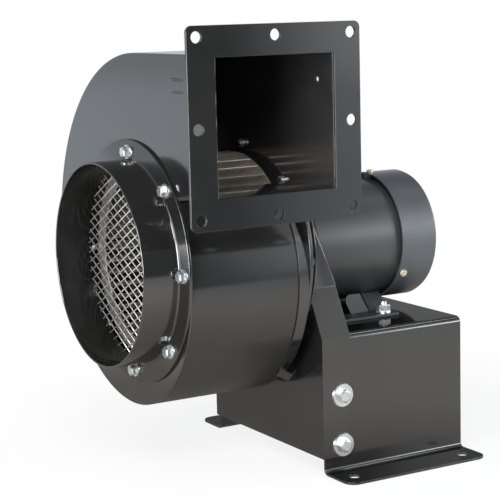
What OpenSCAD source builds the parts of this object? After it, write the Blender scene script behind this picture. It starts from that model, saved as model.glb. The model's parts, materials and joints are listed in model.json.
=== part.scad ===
// Centrifugal blower: sheet-metal scroll housing with a multi-vane impeller,
// driven by a foot-mounted motor on a folded stand.
// +X runs along the fan axis from inlet to motor, the outlet faces -Y, +Z is up.
// The origin is the middle of the four foot holes, on the floor.

/* [Scroll housing] */
// Height of the fan axis above the floor
axis_height = 217; // [212:1:224]
// Inside width of the housing along the axis
volute_width = 124; // [118:1:130]
// Growth of the scroll radius over a quarter turn
scroll_step = 29; // [28:0.5:31]
// Inside radius of the last and smallest scroll arc
scroll_radius = 99.5; // [98.5:0.5:102]
// Thickness of the housing sheet
volute_sheet = 2; // [1.6:0.1:2.4]
// Distance from the fan axis forward to the outlet face
outlet_reach = 170; // [164:1:178]
// Inside height of the outlet
outlet_height = 124; // [120:1:127]
// Radius of the cut-off nose
nose_radius = 10; // [8:0.5:11]
// Gap between the impeller and the cut-off
tongue_gap = 6.5; // [5:0.5:8]
// Width of the lip band on the motor-side edge
lip_width = 11; // [8:0.5:13]
// Thickness of the lip band
lip_sheet = 1.5; // [1:0.1:2]

/* [Outlet flange] */
// Side of the square flange
flange_size = 180; // [176:1:186]
// Distance of the corner holes from the flange edges
flange_inset = 10; // [8:0.5:12]
// Diameter of the flange holes
flange_hole = 10.5; // [9:0.5:11]
// Thickness of the flange plate
flange_sheet = 3; // [2.5:0.5:5]
// Corner radius of the flange
flange_corner = 6; // [3:0.5:9]

/* [Inlet and motor-side rings] */
// Outside radius of the inlet collar
collar_radius = 100; // [98:0.5:100]
// Length of the collar in front of its flange
collar_length = 37; // [30:1:50]
// Thickness of the collar wall
collar_wall = 2; // [1.5:0.1:2.5]
// Outside radius of the ring flanges
ring_radius = 120; // [117:1:123]
// Thickness of the ring flanges
ring_sheet = 3; // [2.5:0.5:4]
// Radius of the ring bolt circle
ring_bolts = 108; // [107.6:0.1:108.2]
// Number of bolts in each ring
ring_count = 8; // [6:2:8]
// Gap between the housing and the upright
ring_standoff = 19; // [17:0.5:24]
// Guard diamond height
guard_high = 10; // [9:0.5:13]
// Guard diamond width
guard_wide = 18.5; // [17:0.5:22]
// Width of a guard strand
guard_strand = 1.5; // [1.2:0.1:2]

/* [Stand] */
// Length of the base along the axis
base_length = 169; // [162:1:180]
// Depth of the base between its wall faces
base_depth = 212; // [206:1:220]
// Height of the motor axis above the base top
motor_rise = 77; // [76.5:0.5:80]
// Thickness of the base sheet
base_sheet = 2.5; // [2:0.1:3]
// How far the feet stand out from the walls
foot_reach = 44.5; // [42:0.5:50]
// Foot hole spacing along the axis
foot_hole_x = 133; // [124:1:138]
// Foot hole spacing across the axis
foot_hole_y = 262; // [256:1:266]
// Diameter of the foot holes
foot_hole = 11; // [9:0.5:12]
// Thickness of the upright sheet
bracket_sheet = 2.5; // [2:0.1:3]
// Width of the upright side flanges
bracket_flange = 33; // [31:0.5:36]
// Half width of the upright above the slope
bracket_upper = 84; // [80:0.5:88]
// Height of the upright above the fan axis
bracket_rise = 112; // [106:1:118]
// Gap below the upright
bracket_lift = 16.5; // [12:0.5:18]

/* [Impeller] */
// Outside radius of the impeller
impeller_radius = 100; // [97:0.5:100.5]
// Inside radius of the blade ring
blade_inner = 84; // [82:0.5:86]
// Number of blades
blade_count = 44; // [36:1:46]
// Thickness of a blade
blade_sheet = 0.9; // [0.7:0.1:1.2]
// Gap between the back disc and the housing
back_gap = 8.5; // [7.5:0.5:11]
// Gap between the front ring and the housing
front_gap = 6; // [5.5:0.5:10]
// Radius of the hub
hub_radius = 18; // [16:0.5:20]
// Length of the hub
hub_length = 33; // [28:1:40]

/* [Motor] */
// Outside radius of the motor shell
shell_radius = 61; // [60:0.5:62]
// Thickness of the shell
shell_wall = 2.5; // [2:0.1:3]
// Length of the shell
shell_length = 100; // [98:1:104]
// Outside radius of the fan cowl
cowl_radius = 67; // [66:0.5:69]
// Length of the fan cowl
cowl_length = 45; // [43:1:52]
// Thickness of the cowl sheet
cowl_sheet = 1.5; // [1.2:0.1:2]
// Radius of the drive end of the shaft
shaft_radius = 7; // [6.5:0.1:7.3]
// Radial air gap of the motor
air_gap = 0.3; // [0.2:0.05:0.5]

/* [Fits] */
// Radial clearance of pressed seats
seat_gap = 0.02; // [0.01:0.01:0.04]
// Radial running clearance of the balls
ball_gap = 0.06; // [0.03:0.01:0.09]
// Radial clearance around bolts
bolt_gap = 0.4; // [0.3:0.1:0.6]

/* [Hidden] */
$fn = 96;
far = 600;
eps = 0.01;
weld = 0.03;

// Places along the axis
web_face = -base_length / 2 - bracket_sheet;
rear_out = web_face - ring_standoff;
rear_in = rear_out - volute_sheet;
front_in = rear_in - volute_width;
front_out = front_in - volute_sheet;
collar_face = front_out - ring_sheet;
collar_mouth = collar_face - collar_length;
volute_mid = (rear_in + front_in) / 2;

// Scroll arcs, each centred on a corner of a small square about the axis
half = scroll_step / 2;
arc4 = scroll_radius;
arc3 = arc4 + scroll_step;
arc2 = arc3 + scroll_step;
arc1 = arc2 + scroll_step;
duct_top = half + arc1;
duct_low = duct_top - outlet_height;
outlet_z = axis_height + (duct_top + duct_low) / 2;
flange_pitch = flange_size - 2 * flange_inset;
duct_end = -outlet_reach + flange_sheet;
lip_end = 227;
guard_rows = ceil(2 * (collar_radius / guard_high + collar_radius / guard_wide)) + 1;

// Cut-off nose and the flat that joins it to the smallest arc
nose_z = duct_low - nose_radius;
nose_tip = impeller_radius + tongue_gap + nose_radius;
nose_y = -sqrt(nose_tip * nose_tip - nose_z * nose_z);
nose_span = norm([nose_y + half, nose_z + half]);
nose_turn = atan2(nose_z + half, nose_y + half) + acos((arc4 + nose_radius) / nose_span);
nose_dir = [cos(nose_turn), sin(nose_turn)];

// Fastener sizes: shank radius, width across flats, head height
m6 = [3, 10, 5];
m8 = [4, 13, 5.3];
m6_collar = [7.1, 1.4];
clinch_radius = 4.4;
clinch_height = 4;
thread_gap = 0.05;
m8_wide_washer = [12, 2];
m8_washer = [8, 1.6];
nut_height = 6.5;

// Stand
base_height = axis_height - motor_rise;
wall_y = base_depth / 2;
bracket_half = wall_y + bracket_sheet;
slope_low = base_height - 2;
slope_high = slope_low + 46;
taper_low = slope_high + 2;
taper_high = taper_low + 80;
bracket_bolt_x = web_face + 22.5;
bracket_bolt_z = [29, 79.5];
bend_radius = 4;

// Motor
shell_front = -58;
shell_rear = shell_front + shell_length;
bore_radius = shell_radius - shell_wall;
shield_depth = 8;
spigot_depth = 4;
spigot_wall = 3.5;
boss_radius = 22;
bearing_outer = 17.5;
bearing_bore = 7.5;
bearing_width = 11;
ball_radius = 2.98;
ball_circle = (bearing_outer + bearing_bore) / 2;
race_radius = ball_radius + ball_gap;
inner_land = ball_circle - 1.9;
outer_land = ball_circle + 1.9;
front_bearing_x = shell_front - 14;
rear_bearing_x = shell_rear + 3;
spring_depth = 1;
rod_circle = bore_radius - 2.5;
rod_radius = 2;
core_front = shell_front + 26;
core_length = 54;
core_rear = core_front + core_length;
stator_bore = 30.5;
rotor_radius = stator_bore - air_gap;
shoulder_radius = 10;
fan_end_radius = 6;
cowl_front = shell_rear - 1;
cowl_rear = cowl_front + cowl_length;
cowl_inner = cowl_radius - cowl_sheet;
lug_x = shell_rear + 1;
lug_length = 8;
lug_angles = [90, 210, 330];
screw_x = lug_x + lug_length / 2;
fan_x = shell_rear + 20;
fan_hub = 12;
fan_disc = 42;
fan_tip = 56;
fan_length = 14;
fan_vane = 2;

// Motor foot
foot_sheet = 3;
foot_top = base_height + foot_sheet;
strip_in = 37;
strip_out = 62;
strip_x = [-60, 39];
leg_length = 22;
foot_bolt_x = [-48, 27];
foot_bolt_y = 50;

// Impeller
disc_sheet = 1.5;
disc_rear = rear_in - back_gap;
disc_front = disc_rear - disc_sheet;
ring_front = front_in + front_gap;
ring_rear = ring_front + disc_sheet;
hub_front = disc_front - hub_length;
blade_arc = 13;
blade_pivot = 90;
key_size = 5;
key_length = 22;
key_x = disc_front - 4 - key_length;
hub_flange = 30;
hub_flange_sheet = 4;

// Terminal box on the far side of the motor
box_x = [-30, 30];
box_half = 22;
box_wall = 2.5;
box_out = shell_radius + 33;
lid_sheet = 3;
gland_y = shell_radius + 20;
gland_bore = 4.5;
gland_thread = 6.5;
wire_hole = 8;

// Draws a flat shape of Y and Z, thickened along X
module slab(x, length) {
    multmatrix([[0, 0, 1, x], [1, 0, 0, 0], [0, 1, 0, 0], [0, 0, 0, 1]])
        linear_extrude(length) children();
}

// The same, for a shape centred on the fan axis
module axis_slab(x, length) {
    slab(x, length) translate([0, axis_height]) children();
}

// Turns a profile of radius and X about the fan axis
module turned() {
    translate([0, 0, axis_height])
        multmatrix([[0, 0, 1, 0], [1, 0, 0, 0], [0, 1, 0, 0], [0, 0, 0, 1]])
            rotate_extrude() children();
}

// A plain tube about the fan axis
module tube(x, length, outer, inner) {
    turned() translate([inner, x]) square([outer - inner, length]);
}

// Puts children at points about the fan axis
module around(count, radius, x, first = 90) {
    for (i = [0 : count - 1])
        let (a = first + i * 360 / count)
            translate([x, radius * cos(a), axis_height + radius * sin(a)]) children();
}

// A hexagon head with its shank, the bearing face at zero and the head upward
module hex_bolt(size, shank) {
    cylinder(d = size[1] / cos(30), h = size[2], $fn = 6);
    translate([0, 0, -shank]) cylinder(r = size[0], h = shank + eps);
}

// A hexagon head with a round collar under it
module collar_bolt(size, collar, shank) {
    cylinder(r = collar[0], h = collar[1]);
    translate([0, 0, collar[1] - eps]) cylinder(d = size[1] / cos(30), h = size[2], $fn = 6);
    translate([0, 0, -shank]) cylinder(r = size[0], h = shank + eps);
}

module hex_nut(size, height) {
    difference() {
        cylinder(d = size[1] / cos(30), h = height, $fn = 6);
        translate([0, 0, -1]) cylinder(r = size[0] + thread_gap, h = height + 2);
    }
}

module washer(size, hole) {
    difference() {
        cylinder(r = size[0], h = size[1]);
        translate([0, 0, -1]) cylinder(r = hole, h = size[1] + 2);
    }
}

// Inside of the scroll and outlet duct, grown outward by g
module scroll_shape(g) {
    intersection() {
        translate([-half, half]) circle(arc1 + g);
        translate([-half, half]) square(far);
    }
    intersection() {
        translate([half, half]) circle(arc2 + g);
        translate([half, half - far]) square(far);
    }
    intersection() {
        translate([half, -half]) circle(arc3 + g);
        translate([half - far, -half - far]) square(far);
    }
    translate([-half, -half]) square(scroll_step);
    difference() {
        translate([duct_end, -half]) square([-half - duct_end, duct_top + g + half]);
        below_duct(g);
    }
}

// Open space under the duct and in front of the smallest arc, cut off by the nose.
// The flat between them crosses both arcs by a hair, so that it never ends on a bare touch.
module below_duct(g) {
    arc_end = [-half, -half] + (arc4 + g - weld) * nose_dir;
    nose_end = [nose_y, nose_z] - (nose_radius - g - weld) * nose_dir;
    run_on = arc_end + 8 * (arc_end - nose_end) / norm(arc_end - nose_end);
    left = duct_end - 1;
    translate([nose_y, nose_z]) circle(nose_radius - g);
    translate([left, nose_z]) square([nose_y - left, nose_radius - g]);
    polygon([[left, nose_z], [nose_y, nose_z], nose_end, run_on, [left, run_on[1]]]);
    difference() {
        translate([left, -half - 1]) square([-half - left, arc_end[1] + half + 1]);
        translate([-half, -half]) circle(arc4 + g);
    }
}

// Ring bolt holes as a flat shape
module ring_holes() {
    for (i = [0 : ring_count - 1])
        rotate(90 + i * 360 / ring_count) translate([ring_bolts, 0]) circle(m6[0] + bolt_gap);
}

module scroll_wrap() {
    color("#1d1e20")
        axis_slab(front_in, volute_width)
            difference() {
                scroll_shape(volute_sheet);
                scroll_shape(0);
                translate([duct_end - 1, duct_low]) square([2, outlet_height]);
            }
}

module front_plate() {
    color("#1f2022")
        axis_slab(front_out, volute_sheet)
            difference() {
                scroll_shape(volute_sheet);
                circle(collar_radius + 2);
                ring_holes();
                for (z = [duct_top - 33, duct_top - 22])
                    translate([-114, z]) square([24, 1.5]);
            }
}

module rear_plate() {
    color("#1b1c1e")
        axis_slab(rear_in, volute_sheet)
            difference() {
                scroll_shape(volute_sheet);
                circle(22);
                ring_holes();
                translate([-outlet_reach + 30, duct_top - 25]) circle(2.6);
            }
}

// Lip band that laps the motor-side edge of the scroll, with a turned-out end
module rear_lip() {
    base = arc3 + volute_sheet;
    edge = rear_out - lip_width + 0.4;
    color("#18191b") {
        axis_slab(rear_out - lip_width, lip_width)
            intersection() {
                difference() {
                    scroll_shape(volute_sheet + lip_sheet);
                    scroll_shape(volute_sheet);
                }
                polygon([[half, -half], [half, nose_z - 8], [-far, nose_z - 8], [-far, -far],
                    [half, -half] + far * [cos(lip_end), sin(lip_end)]]);
            }
        translate([0, half, axis_height - half])
            rotate([lip_end, 0, 0])
                translate([0, 0, -3])
                    linear_extrude(12)
                        polygon([[edge, base + lip_sheet / 2], [edge, base + 2 * lip_sheet],
                            [rear_out - 1, base + 10.5], [rear_out + 7, base + 6],
                            [rear_out + 6, base + 4.6], [rear_out - 1, base + 8.6],
                            [edge + 1.6, base + lip_sheet / 2]]);
    }
}

module rounded_square(size, radius) {
    translate([-size / 2 + radius, -size / 2]) square([size - 2 * radius, size]);
    translate([-size / 2, -size / 2 + radius]) square([size, size - 2 * radius]);
    for (x = [-1, 1], y = [-1, 1])
        translate([x, y] * (size / 2 - radius)) circle(radius);
}

module outlet_flange() {
    color("#202123")
        translate([volute_mid, -outlet_reach + flange_sheet, outlet_z])
            rotate([90, 0, 0])
                linear_extrude(flange_sheet)
                    difference() {
                        rounded_square(flange_size, flange_corner);
                        square([volute_width, outlet_height], center = true);
                        for (x = [-1, 0, 1], z = [-1, 0, 1])
                            if (x != 0 || z != 0)
                                translate([x, z] * flange_pitch / 2) circle(d = flange_hole);
                    }
}

// Inlet collar: a duct spigot with its bolted ring flange
module inlet_collar() {
    color("#222325") {
        axis_slab(collar_face, ring_sheet)
            difference() {
                circle(ring_radius);
                circle(collar_radius - collar_wall);
                ring_holes();
            }
        tube(collar_mouth, collar_length + eps, collar_radius, collar_radius - collar_wall);
    }
}

module inlet_bolts() {
    color("#c9cccd")
        around(ring_count, ring_bolts, collar_face)
            rotate([0, -90, 0]) collar_bolt(m6, m6_collar, ring_sheet + volute_sheet + clinch_height + 2);
}

module inlet_nuts() {
    color("#b9bcbd")
        around(ring_count, ring_bolts, front_in)
            rotate([0, 90, 0]) washer([clinch_radius, clinch_height], m6[0] + thread_gap);
}

// Diamond strand guard across the inlet
module inlet_guard() {
    slope = atan2(guard_high, guard_wide);
    color("#c2c5c6")
        axis_slab(collar_face - 0.5, guard_strand)
            intersection() {
                circle(collar_radius - collar_wall - seat_gap);
                for (i = [-guard_rows / 2 : guard_rows / 2], s = [-1, 1])
                    translate([0, i * guard_high]) rotate(s * slope)
                        square([2.6 * collar_radius, guard_strand], center = true);
            }
}

module motor_ring() {
    color("#1c1d1f") {
        axis_slab(rear_out, ring_sheet)
            difference() {
                circle(ring_radius);
                circle(collar_radius - collar_wall);
                ring_holes();
            }
        tube(rear_out + ring_sheet - eps, ring_standoff - ring_sheet + eps,
            collar_radius, collar_radius - collar_wall);
    }
}

module motor_ring_bolts() {
    color("#c9cccd")
        around(ring_count, ring_bolts, rear_out + ring_sheet)
            rotate([0, 90, 0]) collar_bolt(m6, m6_collar, ring_sheet + volute_sheet + clinch_height + 2);
}

module motor_ring_nuts() {
    color("#b9bcbd")
        around(ring_count, ring_bolts, rear_in)
            rotate([0, -90, 0]) washer([clinch_radius, clinch_height], m6[0] + thread_gap);
}

// Quarter ring between two radii, in the quadrant the signs give
module quarter(inner, outer, sx, sy) {
    intersection() {
        difference() {
            circle(outer);
            circle(inner);
        }
        scale([sx, sy]) square(outer + 1);
    }
}

// Cross section of the base: top, walls and feet of one folded sheet
module hat_section() {
    outer = bend_radius + base_sheet;
    translate([-wall_y + outer, base_height - base_sheet]) square([base_depth - 2 * outer, base_sheet]);
    for (s = [-1, 1]) {
        translate([s * (wall_y - outer), base_height - outer]) quarter(bend_radius, outer, s, 1);
        translate([s * (wall_y - base_sheet / 2), base_height / 2])
            square([base_sheet, base_height - 2 * outer], center = true);
        translate([s * (wall_y + bend_radius), outer]) quarter(bend_radius, outer, -s, -1);
        translate([s * (wall_y + (bend_radius + foot_reach) / 2), base_sheet / 2])
            square([foot_reach - bend_radius, base_sheet], center = true);
    }
}

module base_plan() {
    r = 12;
    deep = wall_y + foot_reach;
    square([base_length, 2 * (deep - r)], center = true);
    square([base_length - 2 * r, 2 * deep], center = true);
    for (x = [-1, 1], y = [-1, 1])
        translate([x * (base_length / 2 - r), y * (deep - r)]) circle(r);
}

module base_box() {
    color("#232426")
        difference() {
            intersection() {
                slab(-base_length / 2, base_length) hat_section();
                linear_extrude(base_height + 1) base_plan();
            }
            for (x = [-1, 1], y = [-1, 1])
                translate([x * foot_hole_x / 2, y * foot_hole_y / 2, -1])
                    cylinder(d = foot_hole, h = base_sheet + 2);
            for (z = bracket_bolt_z, s = [-1, 1])
                translate([bracket_bolt_x, s * wall_y, z])
                    rotate([90, 0, 0]) cylinder(r = m8[0] + bolt_gap, h = 4 * base_sheet, center = true);
            for (x = foot_bolt_x, y = [-1, 1])
                translate([x, y * foot_bolt_y, base_height])
                    cylinder(r = m8[0] + bolt_gap, h = 4 * base_sheet, center = true);
        }
}

// Outline of the upright, drawn in from its sides by g
module upright_outline(g) {
    low = bracket_half - g;
    high = bracket_upper - g;
    top = axis_height + bracket_rise;
    polygon([[-low, bracket_lift], [low, bracket_lift], [low, slope_low], [high, slope_high],
        [high, top - 40], [high - 40, top], [40 - high, top], [-high, top - 40],
        [-high, slope_high], [-low, slope_low]]);
}

module upright_bracket() {
    edge = web_face + bracket_flange;
    color("#242527")
        difference() {
            union() {
                slab(web_face, bracket_sheet)
                    difference() {
                        upright_outline(0);
                        translate([0, axis_height]) circle(32);
                    }
                intersection() {
                    slab(web_face, bracket_flange)
                        difference() {
                            upright_outline(0);
                            upright_outline(bracket_sheet);
                        }
                    translate([0, far / 2, 0]) rotate([90, 0, 0]) linear_extrude(far)
                        polygon([[web_face, bracket_lift], [edge, bracket_lift],
                            [edge, taper_low], [web_face, taper_high]]);
                }
            }
            for (z = bracket_bolt_z, s = [-1, 1])
                translate([bracket_bolt_x, s * wall_y, z])
                    rotate([90, 0, 0]) cylinder(r = m8[0] + bolt_gap, h = 4 * bracket_sheet, center = true);
        }
}

// Places of the bracket bolts, children standing outward from face y
module bracket_places(y, inward = false) {
    for (z = bracket_bolt_z, s = [-1, 1])
        translate([bracket_bolt_x, s * y, z]) rotate([(inward ? -1 : 1) * -90 * s, 0, 0]) children();
}

module bracket_bolts() {
    color("#c9cccd")
        bracket_places(bracket_half + m8_wide_washer[1])
            hex_bolt(m8, m8_wide_washer[1] + bracket_sheet + base_sheet + nut_height + 3);
}

module bracket_washers() {
    color("#d3d5d6")
        bracket_places(bracket_half) washer(m8_wide_washer, m8[0] + bolt_gap);
}

module bracket_nuts() {
    color("#bfc2c3")
        bracket_places(wall_y - base_sheet, true) hex_nut(m8, nut_height);
}

module motor_shell() {
    color("#191a1b")
        difference() {
            tube(shell_front, shell_length, shell_radius, bore_radius);
            wire_way();
        }
}

// Way of the wires from the terminal box into the motor
module wire_way() {
    translate([0, gland_y, axis_height]) rotate([90, 0, 0]) cylinder(r = wire_hole, h = 30);
}

// Body of an end shield as a flat profile of radius and X, for the front
module shield_profile() {
    front = front_bearing_x;
    polygon([[shaft_radius + 1.5, front - 6], [boss_radius, front - 6],
        [boss_radius, shell_front - shield_depth],
        [shell_radius, shell_front - shield_depth], [shell_radius, shell_front],
        [bore_radius - seat_gap, shell_front], [bore_radius - seat_gap, shell_front + spigot_depth],
        [bore_radius - spigot_wall, shell_front + spigot_depth], [bore_radius - spigot_wall, shell_front],
        [bearing_outer + seat_gap, shell_front], [bearing_outer + seat_gap, front],
        [shaft_radius + 1.5, front]]);
}

module front_shield() {
    color("#26272a")
        difference() {
            turned() shield_profile();
            around(4, rod_circle, shell_front - shield_depth - 1, 45)
                rotate([0, 90, 0])
                    cylinder(r = rod_radius + thread_gap, h = shield_depth + spigot_depth + 2);
        }
}

module rear_shield() {
    back = rear_bearing_x + bearing_width + spring_depth;
    color("#26272a")
        difference() {
            union() {
                turned()
                    polygon([[bearing_outer + seat_gap, shell_rear],
                        [bore_radius - spigot_wall, shell_rear],
                        [bore_radius - spigot_wall, shell_rear - spigot_depth],
                        [bore_radius - seat_gap, shell_rear - spigot_depth],
                        [bore_radius - seat_gap, shell_rear],
                        [shell_radius, shell_rear], [shell_radius, shell_rear + shield_depth],
                        [boss_radius, shell_rear + shield_depth], [boss_radius, back + 3],
                        [fan_end_radius + 1.2, back + 3], [fan_end_radius + 1.2, back],
                        [bearing_outer + seat_gap, back]]);
                axis_slab(lug_x, lug_length)
                    intersection() {
                        circle(cowl_inner - seat_gap);
                        for (a = lug_angles)
                            rotate(a) translate([shell_radius - 2, -6]) square([20, 12]);
                    }
            }
            around(4, rod_circle, shell_rear - spigot_depth - 1, 45)
                rotate([0, 90, 0]) cylinder(r = rod_radius + 0.2, h = shield_depth + spigot_depth + 2);
            for (a = lug_angles)
                translate([screw_x, 0, axis_height]) rotate([a - 90, 0, 0])
                    translate([0, 0, shell_radius - 8]) cylinder(r = 2 + thread_gap, h = 20);
        }
}

module tie_rods() {
    color("#b4b7b8")
        around(4, rod_circle, shell_rear + shield_depth, 45)
            rotate([0, 90, 0]) hex_bolt([rod_radius, 7, 2.8], shell_length + 2 * shield_depth - 2);
}

module motor_foot() {
    color("#1e1f21")
        difference() {
            union() {
                for (s = [-1, 1])
                    translate([strip_x[0], s > 0 ? strip_in : -strip_out, base_height])
                        cube([strip_x[1] - strip_x[0], strip_out - strip_in, foot_sheet]);
                for (x = [strip_x[0], strip_x[1] - leg_length], s = [-1, 1])
                    axis_slab(x, leg_length)
                        difference() {
                            polygon([[s * (strip_in + 5), foot_top - axis_height - 1],
                                [s * (strip_in + 1), foot_top - axis_height - 1],
                                [s * 17, -54], [s * 21.5, -53]]);
                            circle(shell_radius);
                        }
            }
            for (x = foot_bolt_x, y = [-1, 1])
                translate([x, y * foot_bolt_y, base_height - 1])
                    cylinder(r = m8[0] + bolt_gap, h = foot_sheet + 2);
        }
}

module foot_places(z, down = false) {
    for (x = foot_bolt_x, y = [-1, 1])
        translate([x, y * foot_bolt_y, z]) rotate([down ? 180 : 0, 0, 0]) children();
}

module foot_bolts() {
    color("#d8dada")
        foot_places(foot_top + m8_washer[1])
            hex_bolt(m8, m8_washer[1] + foot_sheet + base_sheet + nut_height + 3);
}

module foot_washers() {
    color("#d3d5d6") foot_places(foot_top) washer(m8_washer, m8[0] + bolt_gap);
}

module foot_nuts() {
    color("#bfc2c3") foot_places(base_height - base_sheet, true) hex_nut(m8, nut_height);
}

module fan_cowl() {
    grille = [14, 24, 34, 44, 54];
    color("#1a1b1d")
        difference() {
            turned()
                polygon([[cowl_inner, cowl_front], [cowl_radius, cowl_front], [cowl_radius, cowl_rear - 5],
                    [cowl_radius - 1.5, cowl_rear - 1.5], [cowl_radius - 5, cowl_rear], [0, cowl_rear],
                    [0, cowl_rear - cowl_sheet], [cowl_inner - 4, cowl_rear - cowl_sheet],
                    [cowl_inner - 1, cowl_rear - cowl_sheet - 1], [cowl_inner, cowl_rear - 5]]);
            axis_slab(cowl_rear - 2 * cowl_sheet, 3 * cowl_sheet)
                intersection() {
                    for (r = grille)
                        difference() {
                            circle(r + 2.5);
                            circle(r - 2.5);
                        }
                    for (i = [0 : 5])
                        rotate(i * 60) polygon([[0, 0], far * [cos(6), sin(6)], far * [cos(54), sin(54)]]);
                }
            for (a = lug_angles)
                translate([screw_x, 0, axis_height]) rotate([a - 90, 0, 0])
                    translate([0, 0, cowl_inner - 5]) cylinder(r = 2 + bolt_gap, h = 20);
        }
}

module cowl_screws() {
    color("#c8a548")
        for (a = lug_angles)
            translate([screw_x, 0, axis_height]) rotate([a - 90, 0, 0])
                translate([0, 0, cowl_radius + seat_gap])
                    difference() {
                        union() {
                            cylinder(r = 3.8, h = 2.4);
                            translate([0, 0, -8]) cylinder(r = 2, h = 8 + eps);
                        }
                        translate([-5, -0.5, 1.2]) cube([10, 1, 4]);
                    }
}

module stator_core() {
    color("#7c7f83")
        axis_slab(core_front, core_length)
            difference() {
                circle(bore_radius - seat_gap);
                circle(stator_bore);
                for (i = [0 : 3])
                    rotate(45 + i * 90) translate([rod_circle, 0]) circle(rod_radius + 0.7);
            }
}

module stator_windings() {
    color("#b06a32") {
        tube(core_front - 15, 15, bore_radius - 6, stator_bore + 4);
        tube(core_rear, 15, bore_radius - 6, stator_bore + 4);
    }
}

// Ring of a ball bearing with a groove for the balls
module race(x, outer, inner) {
    turned()
        difference() {
            translate([inner, x]) square([outer - inner, bearing_width]);
            translate([ball_circle, x + bearing_width / 2]) circle(race_radius);
        }
}

module front_bearing_outer() {
    color("#aeb1b4") race(front_bearing_x, bearing_outer, outer_land);
}

module rear_bearing_outer() {
    color("#aeb1b4") race(rear_bearing_x, bearing_outer, outer_land);
}

module front_bearing_inner() {
    color("#a6a9ac") race(front_bearing_x, inner_land, bearing_bore);
}

module rear_bearing_inner() {
    color("#a6a9ac") race(rear_bearing_x, inner_land, bearing_bore);
}

// Balls joined by their cage
module ball_cage(x) {
    around(8, ball_circle, x + bearing_width / 2) sphere(ball_radius);
    tube(x + bearing_width / 2 - 1.6, 3.2, ball_circle + 0.8, ball_circle - 0.8);
}

module front_ball_cage() {
    color("#c9b27a") ball_cage(front_bearing_x);
}

module rear_ball_cage() {
    color("#c9b27a") ball_cage(rear_bearing_x);
}

module preload_spring() {
    color("#8e9194") tube(rear_bearing_x + bearing_width, spring_depth, bearing_outer - 0.3, outer_land);
}

module terminal_box() {
    low = axis_height - box_half;
    color("#222326")
        difference() {
            translate([box_x[0], shell_radius - 8, low])
                cube([box_x[1] - box_x[0], box_out - shell_radius + 8, 2 * box_half]);
            translate([box_x[0] + box_wall, shell_radius + 3, low + box_wall])
                cube([box_x[1] - box_x[0] - 2 * box_wall, 40, 2 * (box_half - box_wall)]);
            axis_slab(box_x[0] - 1, box_x[1] - box_x[0] + 2) circle(shell_radius);
            wire_way();
            gland_place() translate([0, 0, -1]) cylinder(r = gland_thread, h = box_wall + 2);
            lid_places(box_out - 8) cylinder(r = 1.5 + thread_gap, h = 20);
        }
    color("#222326")
        lid_places(box_out - 9)
            difference() {
                cylinder(r = 3.2, h = 9);
                translate([0, 0, 1]) cylinder(r = 1.5 + thread_gap, h = 20);
            }
}

// Four places near the corners of the lid, children standing outward
module lid_places(y) {
    for (x = box_x, z = [-1, 1])
        translate([x - sign(x) * (box_wall + 2.5), y, axis_height + z * (box_half - box_wall - 2.5)])
            rotate([-90, 0, 0]) children();
}

module terminal_lid() {
    color("#27282b")
        difference() {
            translate([box_x[0], box_out, axis_height - box_half])
                cube([box_x[1] - box_x[0], lid_sheet, 2 * box_half]);
            lid_places(box_out - 1) cylinder(r = 1.5 + bolt_gap, h = lid_sheet + 2);
        }
}

module lid_screws() {
    color("#c2c5c6")
        lid_places(box_out + lid_sheet)
            difference() {
                union() {
                    cylinder(r = 2.8, h = 2);
                    translate([0, 0, -lid_sheet - 6]) cylinder(r = 1.5, h = lid_sheet + 6 + eps);
                }
                translate([-4, -0.4, 1]) cube([8, 0.8, 3]);
            }
}

// Where the gland sits: outside face of the box at zero, into the box upward
module gland_place() {
    translate([box_x[1], gland_y, axis_height]) rotate([0, -90, 0]) children();
}

module cable_gland() {
    color("#2b2c2f")
        gland_place()
            difference() {
                union() {
                    translate([0, 0, -5]) cylinder(d = 19 / cos(30), h = 5, $fn = 6);
                    translate([0, 0, -8]) cylinder(r = 7.5, h = 4);
                    translate([0, 0, -20]) cylinder(d = 17 / cos(30), h = 12.5, $fn = 6);
                    cylinder(r = gland_thread - seat_gap, h = box_wall + 3);
                    translate([0, 0, box_wall]) cylinder(d = 17 / cos(30), h = 3, $fn = 6);
                }
                translate([0, 0, -30]) cylinder(r = gland_bore, h = 60);
            }
}

// Cut for the key, shared by shaft and hub
module key_block(gap) {
    translate([key_x - gap, -key_size / 2 - gap, axis_height + shaft_radius - 2.5 - gap])
        cube([key_length + 2 * gap, key_size + 2 * gap, key_size + 2 * gap]);
}

module motor_shaft() {
    back = rear_bearing_x + bearing_width;
    front = front_bearing_x + bearing_width;
    seat = bearing_bore - seat_gap;
    color("#9a9da0")
        difference() {
            turned()
                polygon([[0, hub_front + 1], [shaft_radius, hub_front + 1],
                    [shaft_radius, front_bearing_x - 4], [seat, front_bearing_x - 4],
                    [seat, front], [shoulder_radius, front],
                    [shoulder_radius, rear_bearing_x], [seat, rear_bearing_x], [seat, back],
                    [fan_end_radius, back], [fan_end_radius, fan_x + fan_length + 4], [0, fan_x + fan_length + 4]]);
            key_block(seat_gap);
            tube(hub_front, 18, m6[0] + thread_gap, 0);
            translate([hub_front + 6, 0, axis_height - hub_radius])
                cylinder(r = 3 + seat_gap, h = hub_radius - shaft_radius + 1);
        }
}

module rotor_core() {
    color("#6f7276") tube(core_front, core_length, rotor_radius, shoulder_radius + seat_gap);
}

module rotor_end_rings() {
    color("#b9bcc0") {
        tube(core_front - 6, 6, rotor_radius - 1.5, rotor_radius - 12);
        tube(core_rear, 6, rotor_radius - 1.5, rotor_radius - 12);
    }
}

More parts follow.
